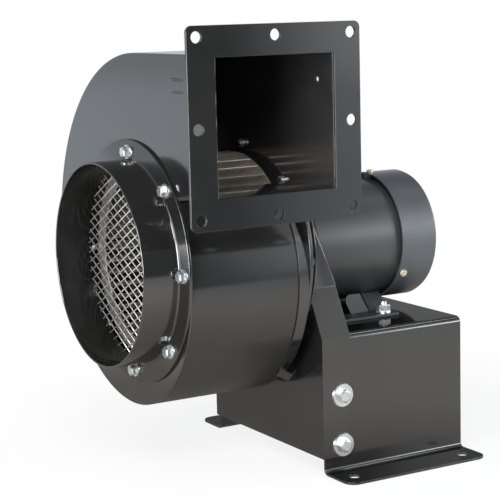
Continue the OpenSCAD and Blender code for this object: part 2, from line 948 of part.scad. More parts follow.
module impeller_hub() {
    color("#a4a8ab")
        difference() {
            turned()
                polygon([[shaft_radius + seat_gap, hub_front], [hub_radius, hub_front],
                    [hub_radius, disc_front - hub_flange_sheet],
                    [hub_flange, disc_front - hub_flange_sheet],
                    [hub_flange, disc_front], [shaft_radius + seat_gap, disc_front]]);
            key_block(seat_gap);
            translate([hub_front + 6, 0, axis_height - hub_radius - 1])
                cylinder(r = 3 + seat_gap, h = hub_radius);
            rivet_holes();
        }
}

// Holes of the hub rivets through flange and disc
module rivet_holes() {
    around(6, (hub_flange + hub_radius) / 2, disc_front - hub_flange_sheet - 1)
        rotate([0, 90, 0]) cylinder(r = 2 + seat_gap, h = hub_flange_sheet + disc_sheet + 2);
}

module hub_rivets() {
    color("#c6c9ca")
        around(6, (hub_flange + hub_radius) / 2, disc_front - hub_flange_sheet) rotate([0, 90, 0]) {
            translate([0, 0, -1.4]) cylinder(r = 3.2, h = 1.4);
            cylinder(r = 2, h = hub_flange_sheet + disc_sheet);
            translate([0, 0, hub_flange_sheet + disc_sheet]) cylinder(r = 3.2, h = 1.4);
        }
}

module impeller_back_disc() {
    color("#b6b9ba")
        difference() {
            tube(disc_front, disc_sheet, impeller_radius, shaft_radius + 1);
            rivet_holes();
        }
}

// One forward-curved blade as a flat shape, hollow side toward the turning direction
module blade_shape() {
    intersection() {
        difference() {
            translate([blade_pivot, 0]) circle(blade_arc + blade_sheet);
            translate([blade_pivot, 0]) circle(blade_arc);
            circle(blade_inner);
        }
        circle(impeller_radius);
        translate([0, -far]) square(far);
    }
}

module impeller_blades() {
    color("#bdbbb2")
        axis_slab(ring_rear, disc_front - ring_rear)
            for (i = [0 : blade_count - 1])
                rotate(i * 360 / blade_count) blade_shape();
}

module impeller_front_ring() {
    color("#b6b9ba") tube(ring_front, disc_sheet, impeller_radius, blade_inner);
}

module shaft_key() {
    color("#8d9093") key_block(0);
}

module hub_set_screw() {
    color("#3a3c3f")
        translate([hub_front + 6, 0, axis_height - hub_radius])
            difference() {
                cylinder(r = 3, h = hub_radius - shaft_radius);
                translate([0, 0, -1]) cylinder(d = 3 / cos(30), h = 4, $fn = 6);
            }
}

module end_washer() {
    color("#c4c7c8") tube(hub_front - 2.5, 2.5, 14, m6[0] + bolt_gap);
}

module end_screw() {
    color("#d0d2d3")
        translate([hub_front - 2.5, 0, axis_height]) rotate([0, -90, 0]) hex_bolt(m6, 17);
}

module shaft_slinger() {
    color("#151516")
        turned()
            polygon([[shaft_radius + seat_gap, front_bearing_x - 14], [12, front_bearing_x - 14],
                [13.5, front_bearing_x - 7], [12.5, front_bearing_x - 7], [10.5, front_bearing_x - 11],
                [shaft_radius + seat_gap, front_bearing_x - 11]]);
}

module cooling_fan() {
    color("#2e3033") {
        tube(fan_x, fan_length, fan_hub, fan_end_radius + seat_gap);
        tube(fan_x, fan_vane, fan_disc, fan_hub - 1);
        axis_slab(fan_x, fan_length - 1)
            difference() {
                intersection() {
                    circle(fan_tip);
                    for (i = [0 : 6])
                        rotate(i * 360 / 7) translate([fan_hub - 1, -fan_vane / 2]) square([fan_tip, fan_vane]);
                }
                circle(fan_hub - 1);
            }
    }
}

module fan_clip() {
    color("#54575a") tube(fan_x + fan_length, 1.2, 9, fan_end_radius + seat_gap);
}

base_box();
upright_bracket();
bracket_bolts();
bracket_washers();
bracket_nuts();
scroll_wrap();
front_plate();
rear_plate();
rear_lip();
outlet_flange();
inlet_collar();
inlet_bolts();
inlet_nuts();
inlet_guard();
motor_ring();
motor_ring_bolts();
motor_ring_nuts();
motor_shell();
front_shield();
rear_shield();
tie_rods();
motor_foot();
foot_bolts();
foot_washers();
foot_nuts();
fan_cowl();
cowl_screws();
stator_core();
stator_windings();
front_bearing_outer();
rear_bearing_outer();
preload_spring();
terminal_box();
terminal_lid();
lid_screws();
cable_gland();
motor_shaft();
rotor_core();
rotor_end_rings();
front_bearing_inner();
rear_bearing_inner();
impeller_hub();
impeller_back_disc();
hub_rivets();
impeller_blades();
impeller_front_ring();
shaft_key();
hub_set_screw();
end_washer();
end_screw();
shaft_slinger();
cooling_fan();
fan_clip();
front_ball_cage();
rear_ball_cage();
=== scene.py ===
"""Looks of a centrifugal blower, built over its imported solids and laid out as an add-on."""

import json
import math

import bmesh
import bpy
from mathutils import Euler, Matrix, Vector


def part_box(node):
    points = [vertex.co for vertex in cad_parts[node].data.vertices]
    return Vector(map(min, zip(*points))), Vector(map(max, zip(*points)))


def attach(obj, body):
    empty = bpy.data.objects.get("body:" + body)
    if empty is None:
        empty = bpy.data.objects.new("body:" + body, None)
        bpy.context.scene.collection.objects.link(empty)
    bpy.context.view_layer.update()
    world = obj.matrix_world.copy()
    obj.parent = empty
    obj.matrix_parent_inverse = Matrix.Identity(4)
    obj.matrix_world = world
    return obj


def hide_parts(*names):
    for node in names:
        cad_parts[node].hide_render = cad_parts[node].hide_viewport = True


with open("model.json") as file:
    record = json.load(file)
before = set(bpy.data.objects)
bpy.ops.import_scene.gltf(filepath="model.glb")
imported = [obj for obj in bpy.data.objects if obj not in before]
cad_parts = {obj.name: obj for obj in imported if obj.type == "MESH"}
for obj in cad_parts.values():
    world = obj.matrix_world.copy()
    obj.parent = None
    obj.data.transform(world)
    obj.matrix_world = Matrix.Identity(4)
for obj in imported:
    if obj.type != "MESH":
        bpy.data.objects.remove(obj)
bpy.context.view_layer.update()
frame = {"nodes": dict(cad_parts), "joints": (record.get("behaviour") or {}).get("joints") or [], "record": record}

bl_info = {
    "name": "Centrifugal Blower",
    "version": (1, 0, 0),
    "blender": (4, 5, 0),
    "location": "View3D > Sidebar > Blower",
    "description": "Rounded sheet edges, fasteners, guard, impeller and finishes of a centrifugal blower",
    "category": "Object",
}

MM = 0.001
RING_BOLT_COLLAR = 7.1 * MM
MOUNTS = {m["name"]: m for m in frame["record"]["mounts"]}
AXIS = Vector(frame["joints"][0]["pos_m"])


def low(node, axis):
    """Lowest place of a CAD node along x, y or z, in metres."""
    return getattr(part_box(node)[0], axis)


def high(node, axis):
    """Highest place of a CAD node along x, y or z, in metres."""
    return getattr(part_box(node)[1], axis)


# Places that the pieces share, all read from the solids
COLLAR_RADIUS = MOUNTS["inlet_collar"]["dims"]["r_mm"] * MM
MOUTH_X = low("inlet_collar", "x")
RING_BACK_X = high("inlet_collar", "x")
RING_FACE_X = MOUTH_X + MOUNTS["inlet_collar"]["dims"]["length_mm"] * MM
RING_RADIUS = high("inlet_collar", "z") - AXIS.z
BOLT_CIRCLE = high("inlet_bolts", "z") - AXIS.z - RING_BOLT_COLLAR
WEB_X = low("upright_bracket", "x")


class BlowerSizes(bpy.types.PropertyGroup):
    """Sizes that the dressing adds to the solids."""

    sheet_round: bpy.props.FloatProperty(
        name="Sheet edge", description="Rounding of cut sheet edges",
        default=0.5 * MM, unit="LENGTH")
    casting_round: bpy.props.FloatProperty(
        name="Casting edge", description="Rounding of cast and moulded edges",
        default=1.0 * MM, unit="LENGTH")
    small_round: bpy.props.FloatProperty(
        name="Small edge", description="Rounding of screws and clips",
        default=0.25 * MM, unit="LENGTH")
    collar_wall: bpy.props.FloatProperty(
        name="Collar wall", description="Thickness of the inlet collar",
        default=2.0 * MM, unit="LENGTH")
    bead: bpy.props.FloatProperty(
        name="Weld bead", description="Radius of the painted weld beads",
        default=1.3 * MM, unit="LENGTH")
    ring_bolt_flats: bpy.props.FloatProperty(
        name="Ring bolt flats", description="Width of the ring bolts across flats",
        default=10.0 * MM, unit="LENGTH")
    ring_bolt_head: bpy.props.FloatProperty(
        name="Ring bolt head", description="Height of the ring bolt heads",
        default=5.0 * MM, unit="LENGTH")
    ring_bolt_collar: bpy.props.FloatProperty(
        name="Ring bolt collar", description="Radius of the collar under the heads",
        default=RING_BOLT_COLLAR, unit="LENGTH")
    stand_bolt_flats: bpy.props.FloatProperty(
        name="Stand bolt flats", description="Width of the stand bolts across flats",
        default=13.0 * MM, unit="LENGTH")
    stand_bolt_head: bpy.props.FloatProperty(
        name="Stand bolt head", description="Height of the stand bolt heads",
        default=5.3 * MM, unit="LENGTH")
    foot_nut: bpy.props.FloatProperty(
        name="Foot nut", description="Height of the nuts on the motor foot",
        default=6.5 * MM, unit="LENGTH")
    foot_stud: bpy.props.FloatProperty(
        name="Foot stud", description="Stud left above the nuts on the motor foot",
        default=3.2 * MM, unit="LENGTH")
    strand: bpy.props.FloatProperty(
        name="Guard strand", description="Thickness of a guard strand",
        default=1.2 * MM, unit="LENGTH")
    diamond_high: bpy.props.FloatProperty(
        name="Diamond height", description="Height of a guard diamond",
        default=10.0 * MM, unit="LENGTH")
    diamond_wide: bpy.props.FloatProperty(
        name="Diamond width", description="Width of a guard diamond",
        default=18.5 * MM, unit="LENGTH")
    blade_count: bpy.props.IntProperty(
        name="Blades", description="Number of impeller blades",
        default=44, min=3)
    blade_sheet: bpy.props.FloatProperty(
        name="Blade sheet", description="Thickness of an impeller blade",
        default=0.9 * MM, unit="LENGTH")
    blade_arc: bpy.props.FloatProperty(
        name="Blade arc", description="Radius of a blade's hollow side",
        default=13.0 * MM, unit="LENGTH")
    blade_pivot: bpy.props.FloatProperty(
        name="Blade pivot", description="Distance of the blade's centre from the axis",
        default=90.0 * MM, unit="LENGTH")
    blade_inner: bpy.props.FloatProperty(
        name="Blade ring", description="Inside radius of the blade ring",
        default=84.0 * MM, unit="LENGTH")


class BlowerColours(bpy.types.PropertyGroup):
    """Colours of the finishes."""

    housing: bpy.props.FloatVectorProperty(
        name="Housing paint", description="Gloss paint of the housing and stand",
        default=(0.0095, 0.0095, 0.0095), subtype="COLOR", min=0, max=1)
    motor: bpy.props.FloatVectorProperty(
        name="Motor paint", description="Satin paint of the motor",
        default=(0.050, 0.052, 0.054), subtype="COLOR", min=0, max=1)
    cowl: bpy.props.FloatVectorProperty(
        name="Cowl paint", description="Satin paint of the fan cowl",
        default=(0.068, 0.076, 0.086), subtype="COLOR", min=0, max=1)
    zinc: bpy.props.FloatVectorProperty(
        name="Zinc", description="Bright zinc of bolts and washers",
        default=(0.64, 0.69, 0.70), subtype="COLOR", min=0, max=1)
    yellow_zinc: bpy.props.FloatVectorProperty(
        name="Yellow zinc", description="Passivated zinc of the cowl screws",
        default=(0.92, 0.83, 0.62), subtype="COLOR", min=0, max=1)
    impeller: bpy.props.FloatVectorProperty(
        name="Impeller sheet", description="Galvanised sheet of the impeller",
        default=(0.58, 0.55, 0.49), subtype="COLOR", min=0, max=1)
    guard: bpy.props.FloatVectorProperty(
        name="Guard wire", description="Bright wire of the inlet guard",
        default=(0.63, 0.63, 0.60), subtype="COLOR", min=0, max=1)
    steel: bpy.props.FloatVectorProperty(
        name="Steel", description="Machined steel of shaft and hub",
        default=(0.56, 0.56, 0.57), subtype="COLOR", min=0, max=1)
    copper: bpy.props.FloatVectorProperty(
        name="Winding", description="Lacquered copper of the windings",
        default=(0.55, 0.22, 0.08), subtype="COLOR", min=0, max=1)
    floor: bpy.props.FloatVectorProperty(
        name="Floor", description="Pale studio floor",
        default=(0.86, 0.86, 0.86), subtype="COLOR", min=0, max=1)


class Graph:
    """Short hand for a node tree: a node, its settings and its links in one call."""

    def __init__(self, tree):
        self.tree = tree

    def node(self, kind, inputs=None, **settings):
        made = self.tree.nodes.new(kind)
        for key, value in settings.items():
            setattr(made, key, value)
        for key, value in (inputs or {}).items():
            self.feed(made.inputs[key], value)
        return made

    def feed(self, socket, value):
        if isinstance(value, bpy.types.NodeSocket):
            self.tree.links.new(value, socket)
        else:
            socket.default_value = value

    def math(self, operation, a, b=0.0):
        return self.node("ShaderNodeMath", {0: a, 1: b}, operation=operation).outputs[0]

    def noise(self, place, scale, detail=3.0, roughness=0.55):
        return self.node("ShaderNodeTexNoise", {"Vector": place, "Scale": scale, "Detail": detail,
                                                "Roughness": roughness}).outputs["Fac"]

    def spread(self, value, bottom, top, start=0.3, stop=0.7):
        return self.node("ShaderNodeMapRange", {"Value": value, "From Min": start, "From Max": stop,
                                                "To Min": bottom, "To Max": top}).outputs["Result"]

    def blend(self, share, a, b):
        mix = self.node("ShaderNodeMix", {"Factor": share}, data_type="RGBA")
        self.feed(mix.inputs[6], a)
        self.feed(mix.inputs[7], b)
        return mix.outputs[2]

    def bump(self, height, strength, distance, normal=None):
        made = self.node("ShaderNodeBump", {"Height": height, "Strength": strength, "Distance": distance})
        if normal is not None:
            self.feed(made.inputs["Normal"], normal)
        return made.outputs["Normal"]

    def bands(self, place, scale, distortion):
        """Lines across the fan axis."""
        inputs = {"Vector": place, "Scale": scale, "Distortion": distortion, "Detail": 2.0}
        return self.node("ShaderNodeTexWave", inputs, wave_type="BANDS", bands_direction="X").outputs["Fac"]

    def between(self, share, a, b):
        """A number between two others."""
        return self.node("ShaderNodeMix", {"Factor": share, 2: a, 3: b}, data_type="FLOAT").outputs[0]

    def vector(self, **parts):
        """A vector from its X, Y and Z."""
        return self.node("ShaderNodeCombineXYZ", parts).outputs[0]

    def part(self, vector, axis):
        """The X, Y or Z of a vector."""
        return self.node("ShaderNodeSeparateXYZ", {0: vector}).outputs[axis]

    def moved(self, geometry, **how):
        """Geometry shifted or turned."""
        return self.node("GeometryNodeTransform", {"Geometry": geometry, **how}).outputs[0]

    def joined(self, *parts):
        """Several geometries as one."""
        join = self.node("GeometryNodeJoinGeometry")
        for part in parts:
            self.tree.links.new(part, join.inputs[0])
        return join.outputs[0]


def shade(colour, factor):
    """A colour with its brightness changed, as four numbers."""
    return tuple(min(1.0, c * factor) for c in colour[:3]) + (1.0,)


def start_material(name):
    """A new material with only an output, its graph, and the object's own coordinates."""
    material = bpy.data.materials.new(name)
    material.use_nodes = True
    material.node_tree.nodes.clear()
    graph = Graph(material.node_tree)
    place = graph.node("ShaderNodeTexCoord").outputs["Object"]
    return material, graph, place


def end_material(material, graph, **sockets):
    """Ends a material in one Principled shader, its sockets given by name with spaces as underscores."""
    shader = graph.node("ShaderNodeBsdfPrincipled", {k.replace("_", " "): v for k, v in sockets.items()})
    graph.node("ShaderNodeOutputMaterial", {"Surface": shader.outputs["BSDF"]})
    return material


def painted_sheet(name, colour, roughness, index, peel, dust=0.05, flake=0.0, dry=1.0):
    """Baked paint on sheet steel: orange peel, cloudy gloss, dust on what faces up, dry spray below."""
    material, g, place = start_material(name)
    cloud = g.noise(place, 11.0, 4.0)
    fleck = g.noise(place, 520.0, 2.0)
    wave = g.noise(place, 330.0, 1.0)
    warp = g.noise(place, 7.0, 1.0)
    facing = g.part(g.node("ShaderNodeNewGeometry").outputs["Normal"], "Z")
    settled = g.math("MULTIPLY", g.spread(facing, 0.0, dust, 0.6, 1.0), g.spread(fleck, 0.0, 1.0, 0.45, 0.75))
    pigment = g.blend(g.spread(cloud, 0.0, 1.0), shade(colour, 0.8), shade(colour, 1.3))
    tint = g.blend(settled, pigment, (0.16, 0.155, 0.15, 1.0))
    gloss = g.spread(cloud, roughness * 0.85, roughness * 1.2)
    gloss = g.spread(facing, gloss, g.math("MULTIPLY", gloss, 0.45), 0.8, 1.0)
    if dry != 1.0:
        gloss = g.math("MULTIPLY", gloss, g.spread(facing, dry, 1.0, -0.6, -0.3))
    normal = g.bump(wave, peel, 0.05 * MM, g.bump(warp, 0.35, 0.25 * MM))
    return end_material(material, g, Base_Color=tint, Metallic=flake, Roughness=gloss, IOR=index,
                        Normal=normal)


def bare_edge(name, colour, steel, share):
    """Painted edge rubbed through to the steel here and there."""
    material, g, place = start_material(name)
    rub = g.spread(g.noise(place, 60.0, 5.0, 0.7), 0.0, 1.0, 0.62 - share, 0.66 - share * 0.6)
    scratch = g.noise(place, 900.0, 2.0)
    tint = g.blend(rub, shade(colour, 1.2), shade(steel, 1.0))
    normal = g.bump(scratch, 0.2, 0.05 * MM)
    gloss = g.spread(scratch, 0.22, 0.4)
    return end_material(material, g, Base_Color=tint, Metallic=rub, Roughness=gloss, Normal=normal)


def plated_metal(name, colour, roughness, bloom, metallic=1.0):
    """Zinc plate: fine crystal grain, cloudy bloom and small handling marks."""
    material, g, place = start_material(name)
    cloud = g.noise(place, 120.0, 4.0)
    grain = g.noise(place, 1600.0, 2.0)
    tint = g.blend(g.spread(cloud, 0.0, 1.0), shade(colour, 0.86), shade(bloom, 1.0))
    gloss = g.spread(cloud, roughness * 0.75, roughness * 1.3)
    normal = g.bump(grain, 0.18, 0.04 * MM)
    return end_material(material, g, Base_Color=tint, Metallic=metallic, Roughness=gloss, Normal=normal)


def spangled_sheet(name, colour):
    """Galvanised sheet with a faint crystal spangle and rolling lines along the axis."""
    material, g, place = start_material(name)
    spangle = g.node("ShaderNodeTexVoronoi", {"Vector": place, "Scale": 150.0}).outputs["Color"]
    value = g.node("ShaderNodeSeparateColor", {0: spangle}).outputs["Red"]
    cloud = g.noise(place, 25.0, 4.0)
    lengthwise = {"Vector": place, "Scale": (12.0, 900.0, 900.0)}
    rolling = g.noise(g.node("ShaderNodeMapping", lengthwise).outputs["Vector"], 1.0, 2.0)
    tint = g.blend(g.spread(value, 0.0, 1.0, 0.0, 1.0), shade(colour, 0.85), shade(colour, 1.12))
    tint = g.blend(g.spread(cloud, 0.0, 0.5), tint, shade(colour, 0.62))
    gloss = g.spread(rolling, 0.3, 0.48)
    normal = g.bump(rolling, 0.25, 0.05 * MM)
    return end_material(material, g, Base_Color=tint, Metallic=0.85, Roughness=gloss, Normal=normal)


def turned_steel(name, colour, roughness, pitch):
    """Machined steel with fine turning rings along the shaft axis."""
    material, g, place = start_material(name)
    rings = g.bands(place, 1.0 / pitch, 0.6)
    cloud = g.noise(place, 40.0, 4.0)
    tint = g.blend(g.spread(cloud, 0.0, 1.0), shade(colour, 0.8), shade(colour, 1.1))
    gloss = g.spread(cloud, roughness * 0.8, roughness * 1.25)
    normal = g.bump(rings, 0.12, 0.05 * MM)
    return end_material(material, g, Base_Color=tint, Metallic=1.0, Roughness=gloss, Normal=normal)


def stacked_core(name, colour):
    """Electrical sheet seen on edge: thin dark lines between the stacked sheets."""
    material, g, place = start_material(name)
    lines = g.bands(place, 320.0, 0.2)
    cloud = g.noise(place, 60.0, 4.0)
    tint = g.blend(g.spread(lines, 0.0, 0.7), shade(colour, 1.0), shade(colour, 0.3))
    gloss = g.spread(cloud, 0.4, 0.6)
    normal = g.bump(lines, 0.4, 0.1 * MM)
    return end_material(material, g, Base_Color=tint, Metallic=0.9, Roughness=gloss, Normal=normal)


def wound_copper(name, colour):
    """Lacquered winding: strands that run round the axis."""
    material, g, place = start_material(name)
    strands = g.bands(place, 260.0, 1.5)
    cloud = g.noise(place, 70.0, 3.0)
    tint = g.blend(strands, shade(colour, 0.45), shade(colour, 1.2))
    gloss = g.spread(cloud, 0.25, 0.45)
    normal = g.bump(strands, 0.7, 0.3 * MM)
    return end_material(material, g, Base_Color=tint, Metallic=0.7, Roughness=gloss, Coat_Weight=0.6,
                        Normal=normal)


def moulded(name, colour, roughness):
    """Moulded plastic or rubber with a spark-eroded grain."""
    material, g, place = start_material(name)
    grain = g.noise(place, 1100.0, 3.0)
    cloud = g.noise(place, 30.0, 3.0)
    tint = g.blend(g.spread(cloud, 0.0, 1.0), shade(colour, 0.85), shade(colour, 1.2))
    gloss = g.spread(grain, roughness * 0.85, roughness * 1.15)
    normal = g.bump(grain, 0.3, 0.06 * MM)
    return end_material(material, g, Base_Color=tint, Roughness=gloss, Normal=normal)


def cast_paint(name, colour, roughness):
    """Thin paint over a die casting: pebbled skin."""
    material, g, place = start_material(name)
    pebble = g.noise(place, 240.0, 4.0, 0.65)
    cloud = g.noise(place, 14.0, 3.0)
    tint = g.blend(g.spread(cloud, 0.0, 1.0), shade(colour, 0.8), shade(colour, 1.5))
    gloss = g.spread(pebble, roughness * 0.8, roughness * 1.2)
    normal = g.bump(pebble, 0.35, 0.12 * MM)
    return end_material(material, g, Base_Color=tint, Roughness=gloss, Normal=normal)


def finishes(colours):
    """Every finish of the blower, by plain name. Made once and then found again."""
    if "housing paint" in bpy.data.materials:
        return {m.name: m for m in bpy.data.materials}
    made = [
        painted_sheet("housing paint", colours.housing, 0.12, 1.90, 0.10),
        # Housing paint at 0.6 times its colour and with a weaker reflection for the collar's inside: painted shade
        # in the recess
        painted_sheet("collar lining", shade(colours.housing, 0.6), 0.14, 1.45, 0.10),
        painted_sheet("plate paint", colours.housing, 0.12, 2.05, 0.10),
        # Housing paint at 1.3 times its colour for the scroll wrap: painted light on its curved face
        painted_sheet("sheet paint", shade(colours.housing, 1.3), 0.13, 1.70, 0.10, dry=3.2),
        # Housing paint at twice its colour for the housing's inner faces: painted light standing in for light that
        # reaches inside
        painted_sheet("inside paint", shade(colours.housing, 2.0), 0.13, 1.85, 0.12),
        painted_sheet("stand paint", colours.housing, 0.15, 1.80, 0.08, 0.015),
        # Stand paint at 0.6 times its colour and with a weaker reflection for up-facing faces: painted shade on
        # the tops
        painted_sheet("stand top paint", shade(colours.housing, 0.6), 0.15, 1.09, 0.08, 0.008),
        painted_sheet("motor paint", colours.motor, 0.43, 1.75, 0.16, 0.02, 0.35),
        painted_sheet("cowl paint", colours.cowl, 0.44, 1.75, 0.2, 0.02, 0.35),
        bare_edge("rubbed edge", colours.housing, (0.62, 0.63, 0.65), 0.3),
        bare_edge("bare rim", colours.housing, (0.60, 0.60, 0.60), 0.14),
        bare_edge("bare end", colours.housing, (0.66, 0.55, 0.48), 0.42),
        plated_metal("bright zinc", colours.zinc, 0.27, (0.74, 0.79, 0.80), 0.9),
        plated_metal("yellow zinc", colours.yellow_zinc, 0.30, (0.95, 0.90, 0.76), 0.6),
        plated_metal("guard wire", colours.guard, 0.34, (0.76, 0.76, 0.73), 0.6),
        spangled_sheet("impeller sheet", colours.impeller),
        turned_steel("turned steel", colours.steel, 0.28, 0.5 * MM),
        turned_steel("ground steel", (0.66, 0.67, 0.68), 0.12, 0.2 * MM),
        turned_steel("cast aluminium", (0.60, 0.61, 0.62), 0.5, 2.0 * MM),
        stacked_core("core sheet", (0.30, 0.31, 0.33)),
        wound_copper("winding", colours.copper),
        moulded("fan plastic", (0.016, 0.016, 0.017), 0.5),
        moulded("seal rubber", (0.010, 0.010, 0.010), 0.7),
        cast_paint("shield paint", shade(colours.motor, 0.5), 0.45),
    ]
    return {m.name: m for m in made}


def add_piece(name, mesh, *materials):
    """A new object at the origin that holds a mesh."""
    piece = bpy.data.objects.new(name, mesh)
    bpy.context.scene.collection.objects.link(piece)
    for material in materials:
        mesh.materials.append(material)
    return piece


def settle(piece):
    """Applies a piece's modifiers, so that it is a plain mesh."""
    graph = bpy.context.evaluated_depsgraph_get()
    mesh = bpy.data.meshes.new_from_object(
        piece.evaluated_get(graph), preserve_all_data_layers=True, depsgraph=graph)
    piece.modifiers.clear()
    old, piece.data = piece.data, mesh
    mesh.name = piece.name
    bpy.data.meshes.remove(old)
    return piece


def hand_over(piece, body, slot, *nodes):
    """The piece rides on a body and stands for CAD nodes. Its slot is not used."""
    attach(piece, body)
    if nodes:
        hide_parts(*nodes)
    return piece


def rounded(piece, radius, steps=2, angle=32.0):
    """Rounds the sharp edges of a piece and keeps its flat faces flat."""
    bevel = piece.modifiers.new("Edge", "BEVEL")
    bevel.limit_method = "ANGLE"
    bevel.angle_limit = math.radians(angle)
    bevel.width = radius
    bevel.segments = steps
    bevel.use_clamp_overlap = True
    bevel.loop_slide = False
    bevel.miter_outer = "MITER_ARC"
    if len(piece.data.materials) > 1:
        bevel.material = 1
    for face in piece.data.polygons:
        face.use_smooth = True
    skin = bmesh.new()
    skin.from_mesh(settle(piece).data)
    bmesh.ops.dissolve_degenerate(skin, dist=0.001 * MM, edges=skin.edges)
    skin.to_mesh(piece.data)
    skin.free()
    return flat_faced(piece)


def flat_faced(piece, angle=50.0, wide=1.5e-3):
    """Smooth normals that leave wide flat faces flat, however they are cut up. A wide face outweighs the
    rounding beside it."""
    mesh = piece.data
    normals = [face.normal.copy() for face in mesh.polygons]
    planes = [(round(n.x, 3), round(n.y, 3), round(n.z, 3), round(n.dot(face.center), 5))
              for n, face in zip(normals, mesh.polygons)]
    area, largest = {}, {}
    for plane, face in zip(planes, mesh.polygons):
        area[plane] = area.get(plane, 0.0) + face.area
        if plane not in largest or face.area > mesh.polygons[largest[plane]].area:
            largest[plane] = face.index
    flats = [(plane, normals[i], normals[i].dot(mesh.polygons[i].center))
             for plane, i in largest.items() if area[plane] > wide]
    flat = [None] * len(normals)
    for face in mesh.polygons:
        for plane, way, level in flats:
            if normals[face.index].dot(way) > 0.9 and all(
                    abs(way.dot(mesh.vertices[v].co) - level) < 4e-6 for v in face.vertices):
                flat[face.index], planes[face.index] = way, plane
    around = [[] for _ in mesh.vertices]
    for face in mesh.polygons:
        for vertex in face.vertices:
            around[vertex].append(face.index)
    limit = math.cos(math.radians(angle))
    corners = []
    for face in mesh.polygons:
        for vertex in face.vertices:
            total = flat[face.index] or Vector()
            for i in around[vertex] if flat[face.index] is None else ():
                if normals[i].dot(normals[face.index]) > limit:
                    total += (flat[i] or normals[i]) * area[planes[i]] ** 2
            corners.append(total.normalized() if total.length > 0 else normals[face.index])
    mesh.normals_split_custom_set(corners)
    return piece


def repaint(piece, index, chosen):
    """Gives a material index to the faces that a test of middle and normal chooses."""
    for face in piece.data.polygons:
        if chosen(face.center, face.normal, face.material_index):
            face.material_index = index


def merged_copy(node):
    """A CAD node's mesh as one skin: its triangles merged, its flat faces joined."""
    mesh = frame["nodes"][node].data.copy()
    mesh.materials.clear()
    for layer in ("custom_normal", "sharp_edge", "sharp_face"):
        if layer in mesh.attributes:
            mesh.attributes.remove(mesh.attributes[layer])
    skin = bmesh.new()
    skin.from_mesh(mesh)
    bmesh.ops.remove_doubles(skin, verts=skin.verts, dist=0.002 * MM)
    bmesh.ops.dissolve_limit(skin, angle_limit=math.radians(0.6), verts=skin.verts, edges=skin.edges)
    bmesh.ops.connect_verts_concave(skin, faces=[f for f in skin.faces if len(f.verts) > 4])
    skin.to_mesh(mesh)
    skin.free()
    return mesh


def box_mesh(name, boxes):
    """Closed boxes from pairs of low and high corners, as one mesh."""
    shape = bmesh.new()
    for first, last in boxes:
        for vertex in bmesh.ops.create_cube(shape, size=1.0)["verts"]:
            vertex.co = [last[k] if vertex.co[k] > 0 else first[k] for k in range(3)]
    mesh = bpy.data.meshes.new(name)
    shape.to_mesh(mesh)
    shape.free()
    return mesh


def dressed(node, name, radius, *materials, steps=2):
    """A copy of a CAD node with rounded edges. A second material goes on the rounded edges."""
    return rounded(add_piece(name, merged_copy(node), *materials), radius, steps)


def circle_points(radius, x, steps=160):
    """Points of a circle about the fan axis."""
    angles = [2 * math.pi * i / steps for i in range(steps)]
    return [(x, radius * math.cos(a), AXIS.z + radius * math.sin(a)) for a in angles]


def turned(name, outline, materials, steps=192):
    """Turns an outline of (radius, x, material) points about the fan axis. The outline runs with the
    solid on its left, seen with radius to the right and x upward, and closes by itself."""
    shape = bmesh.new()
    rings = [[shape.verts.new(p) for p in circle_points(radius, x, steps)] for radius, x, _ in outline]
    for k, (_, _, material) in enumerate(outline):
        a, b = rings[k], rings[(k + 1) % len(rings)]
        for i in range(steps):
            j = (i + 1) % steps
            face = shape.faces.new((a[i], a[j], b[j], b[i]))
            face.material_index = material
            face.smooth = True
    bmesh.ops.recalc_face_normals(shape, faces=shape.faces)
    mesh = bpy.data.meshes.new(name)
    shape.to_mesh(mesh)
    shape.free()
    mesh.set_sharp_from_angle(angle=math.radians(40))
    return add_piece(name, mesh, *materials)


def fillet(centre, radius, start, stop, material, steps=5):
    """Points of an arc in an outline, angles in degrees from the radius direction towards x."""
    return [(centre[0] + radius * math.cos(math.radians(start + (stop - start) * i / steps)),
             centre[1] + radius * math.sin(math.radians(start + (stop - start) * i / steps)), material)
            for i in range(steps + 1)]


def start_tree(name, sockets):
    """A geometry tree, its graph and its named inputs, which are given as name to (type, default)."""
    tree = bpy.data.node_groups.new(name, "GeometryNodeTree")
    tree.interface.new_socket("Geometry", in_out="INPUT", socket_type="NodeSocketGeometry")
    for label, (kind, default) in sockets.items():
        socket = tree.interface.new_socket(label, in_out="INPUT", socket_type="NodeSocket" + kind)
        if default is not None:
            socket.default_value = default
    tree.interface.new_socket("Geometry", in_out="OUTPUT", socket_type="NodeSocketGeometry")
    graph = Graph(tree)
    return tree, graph, graph.node("NodeGroupInput").outputs


def end_tree(graph, geometry, material):
    """Ends a tree: instances made real, material set, out."""
    real = graph.node("GeometryNodeRealizeInstances", {"Geometry": geometry}).outputs[0]
    painted = graph.node("GeometryNodeSetMaterial", {"Geometry": real, "Material": material}).outputs[0]
    graph.node("NodeGroupOutput", {"Geometry": painted})


def grown(name, mesh, tree, **values):
    """A piece made by a geometry tree over a mesh, with the tree's inputs by name, as a plain mesh."""
    piece = add_piece(name, mesh)
    modifier = piece.modifiers.new(tree.name, "NODES")
    modifier.node_group = tree
    for item in tree.interface.items_tree:
        key = item.name.replace(" ", "_")
        if item.in_out == "INPUT" and key in values:
            modifier[item.identifier] = values[key]
    return settle(piece)


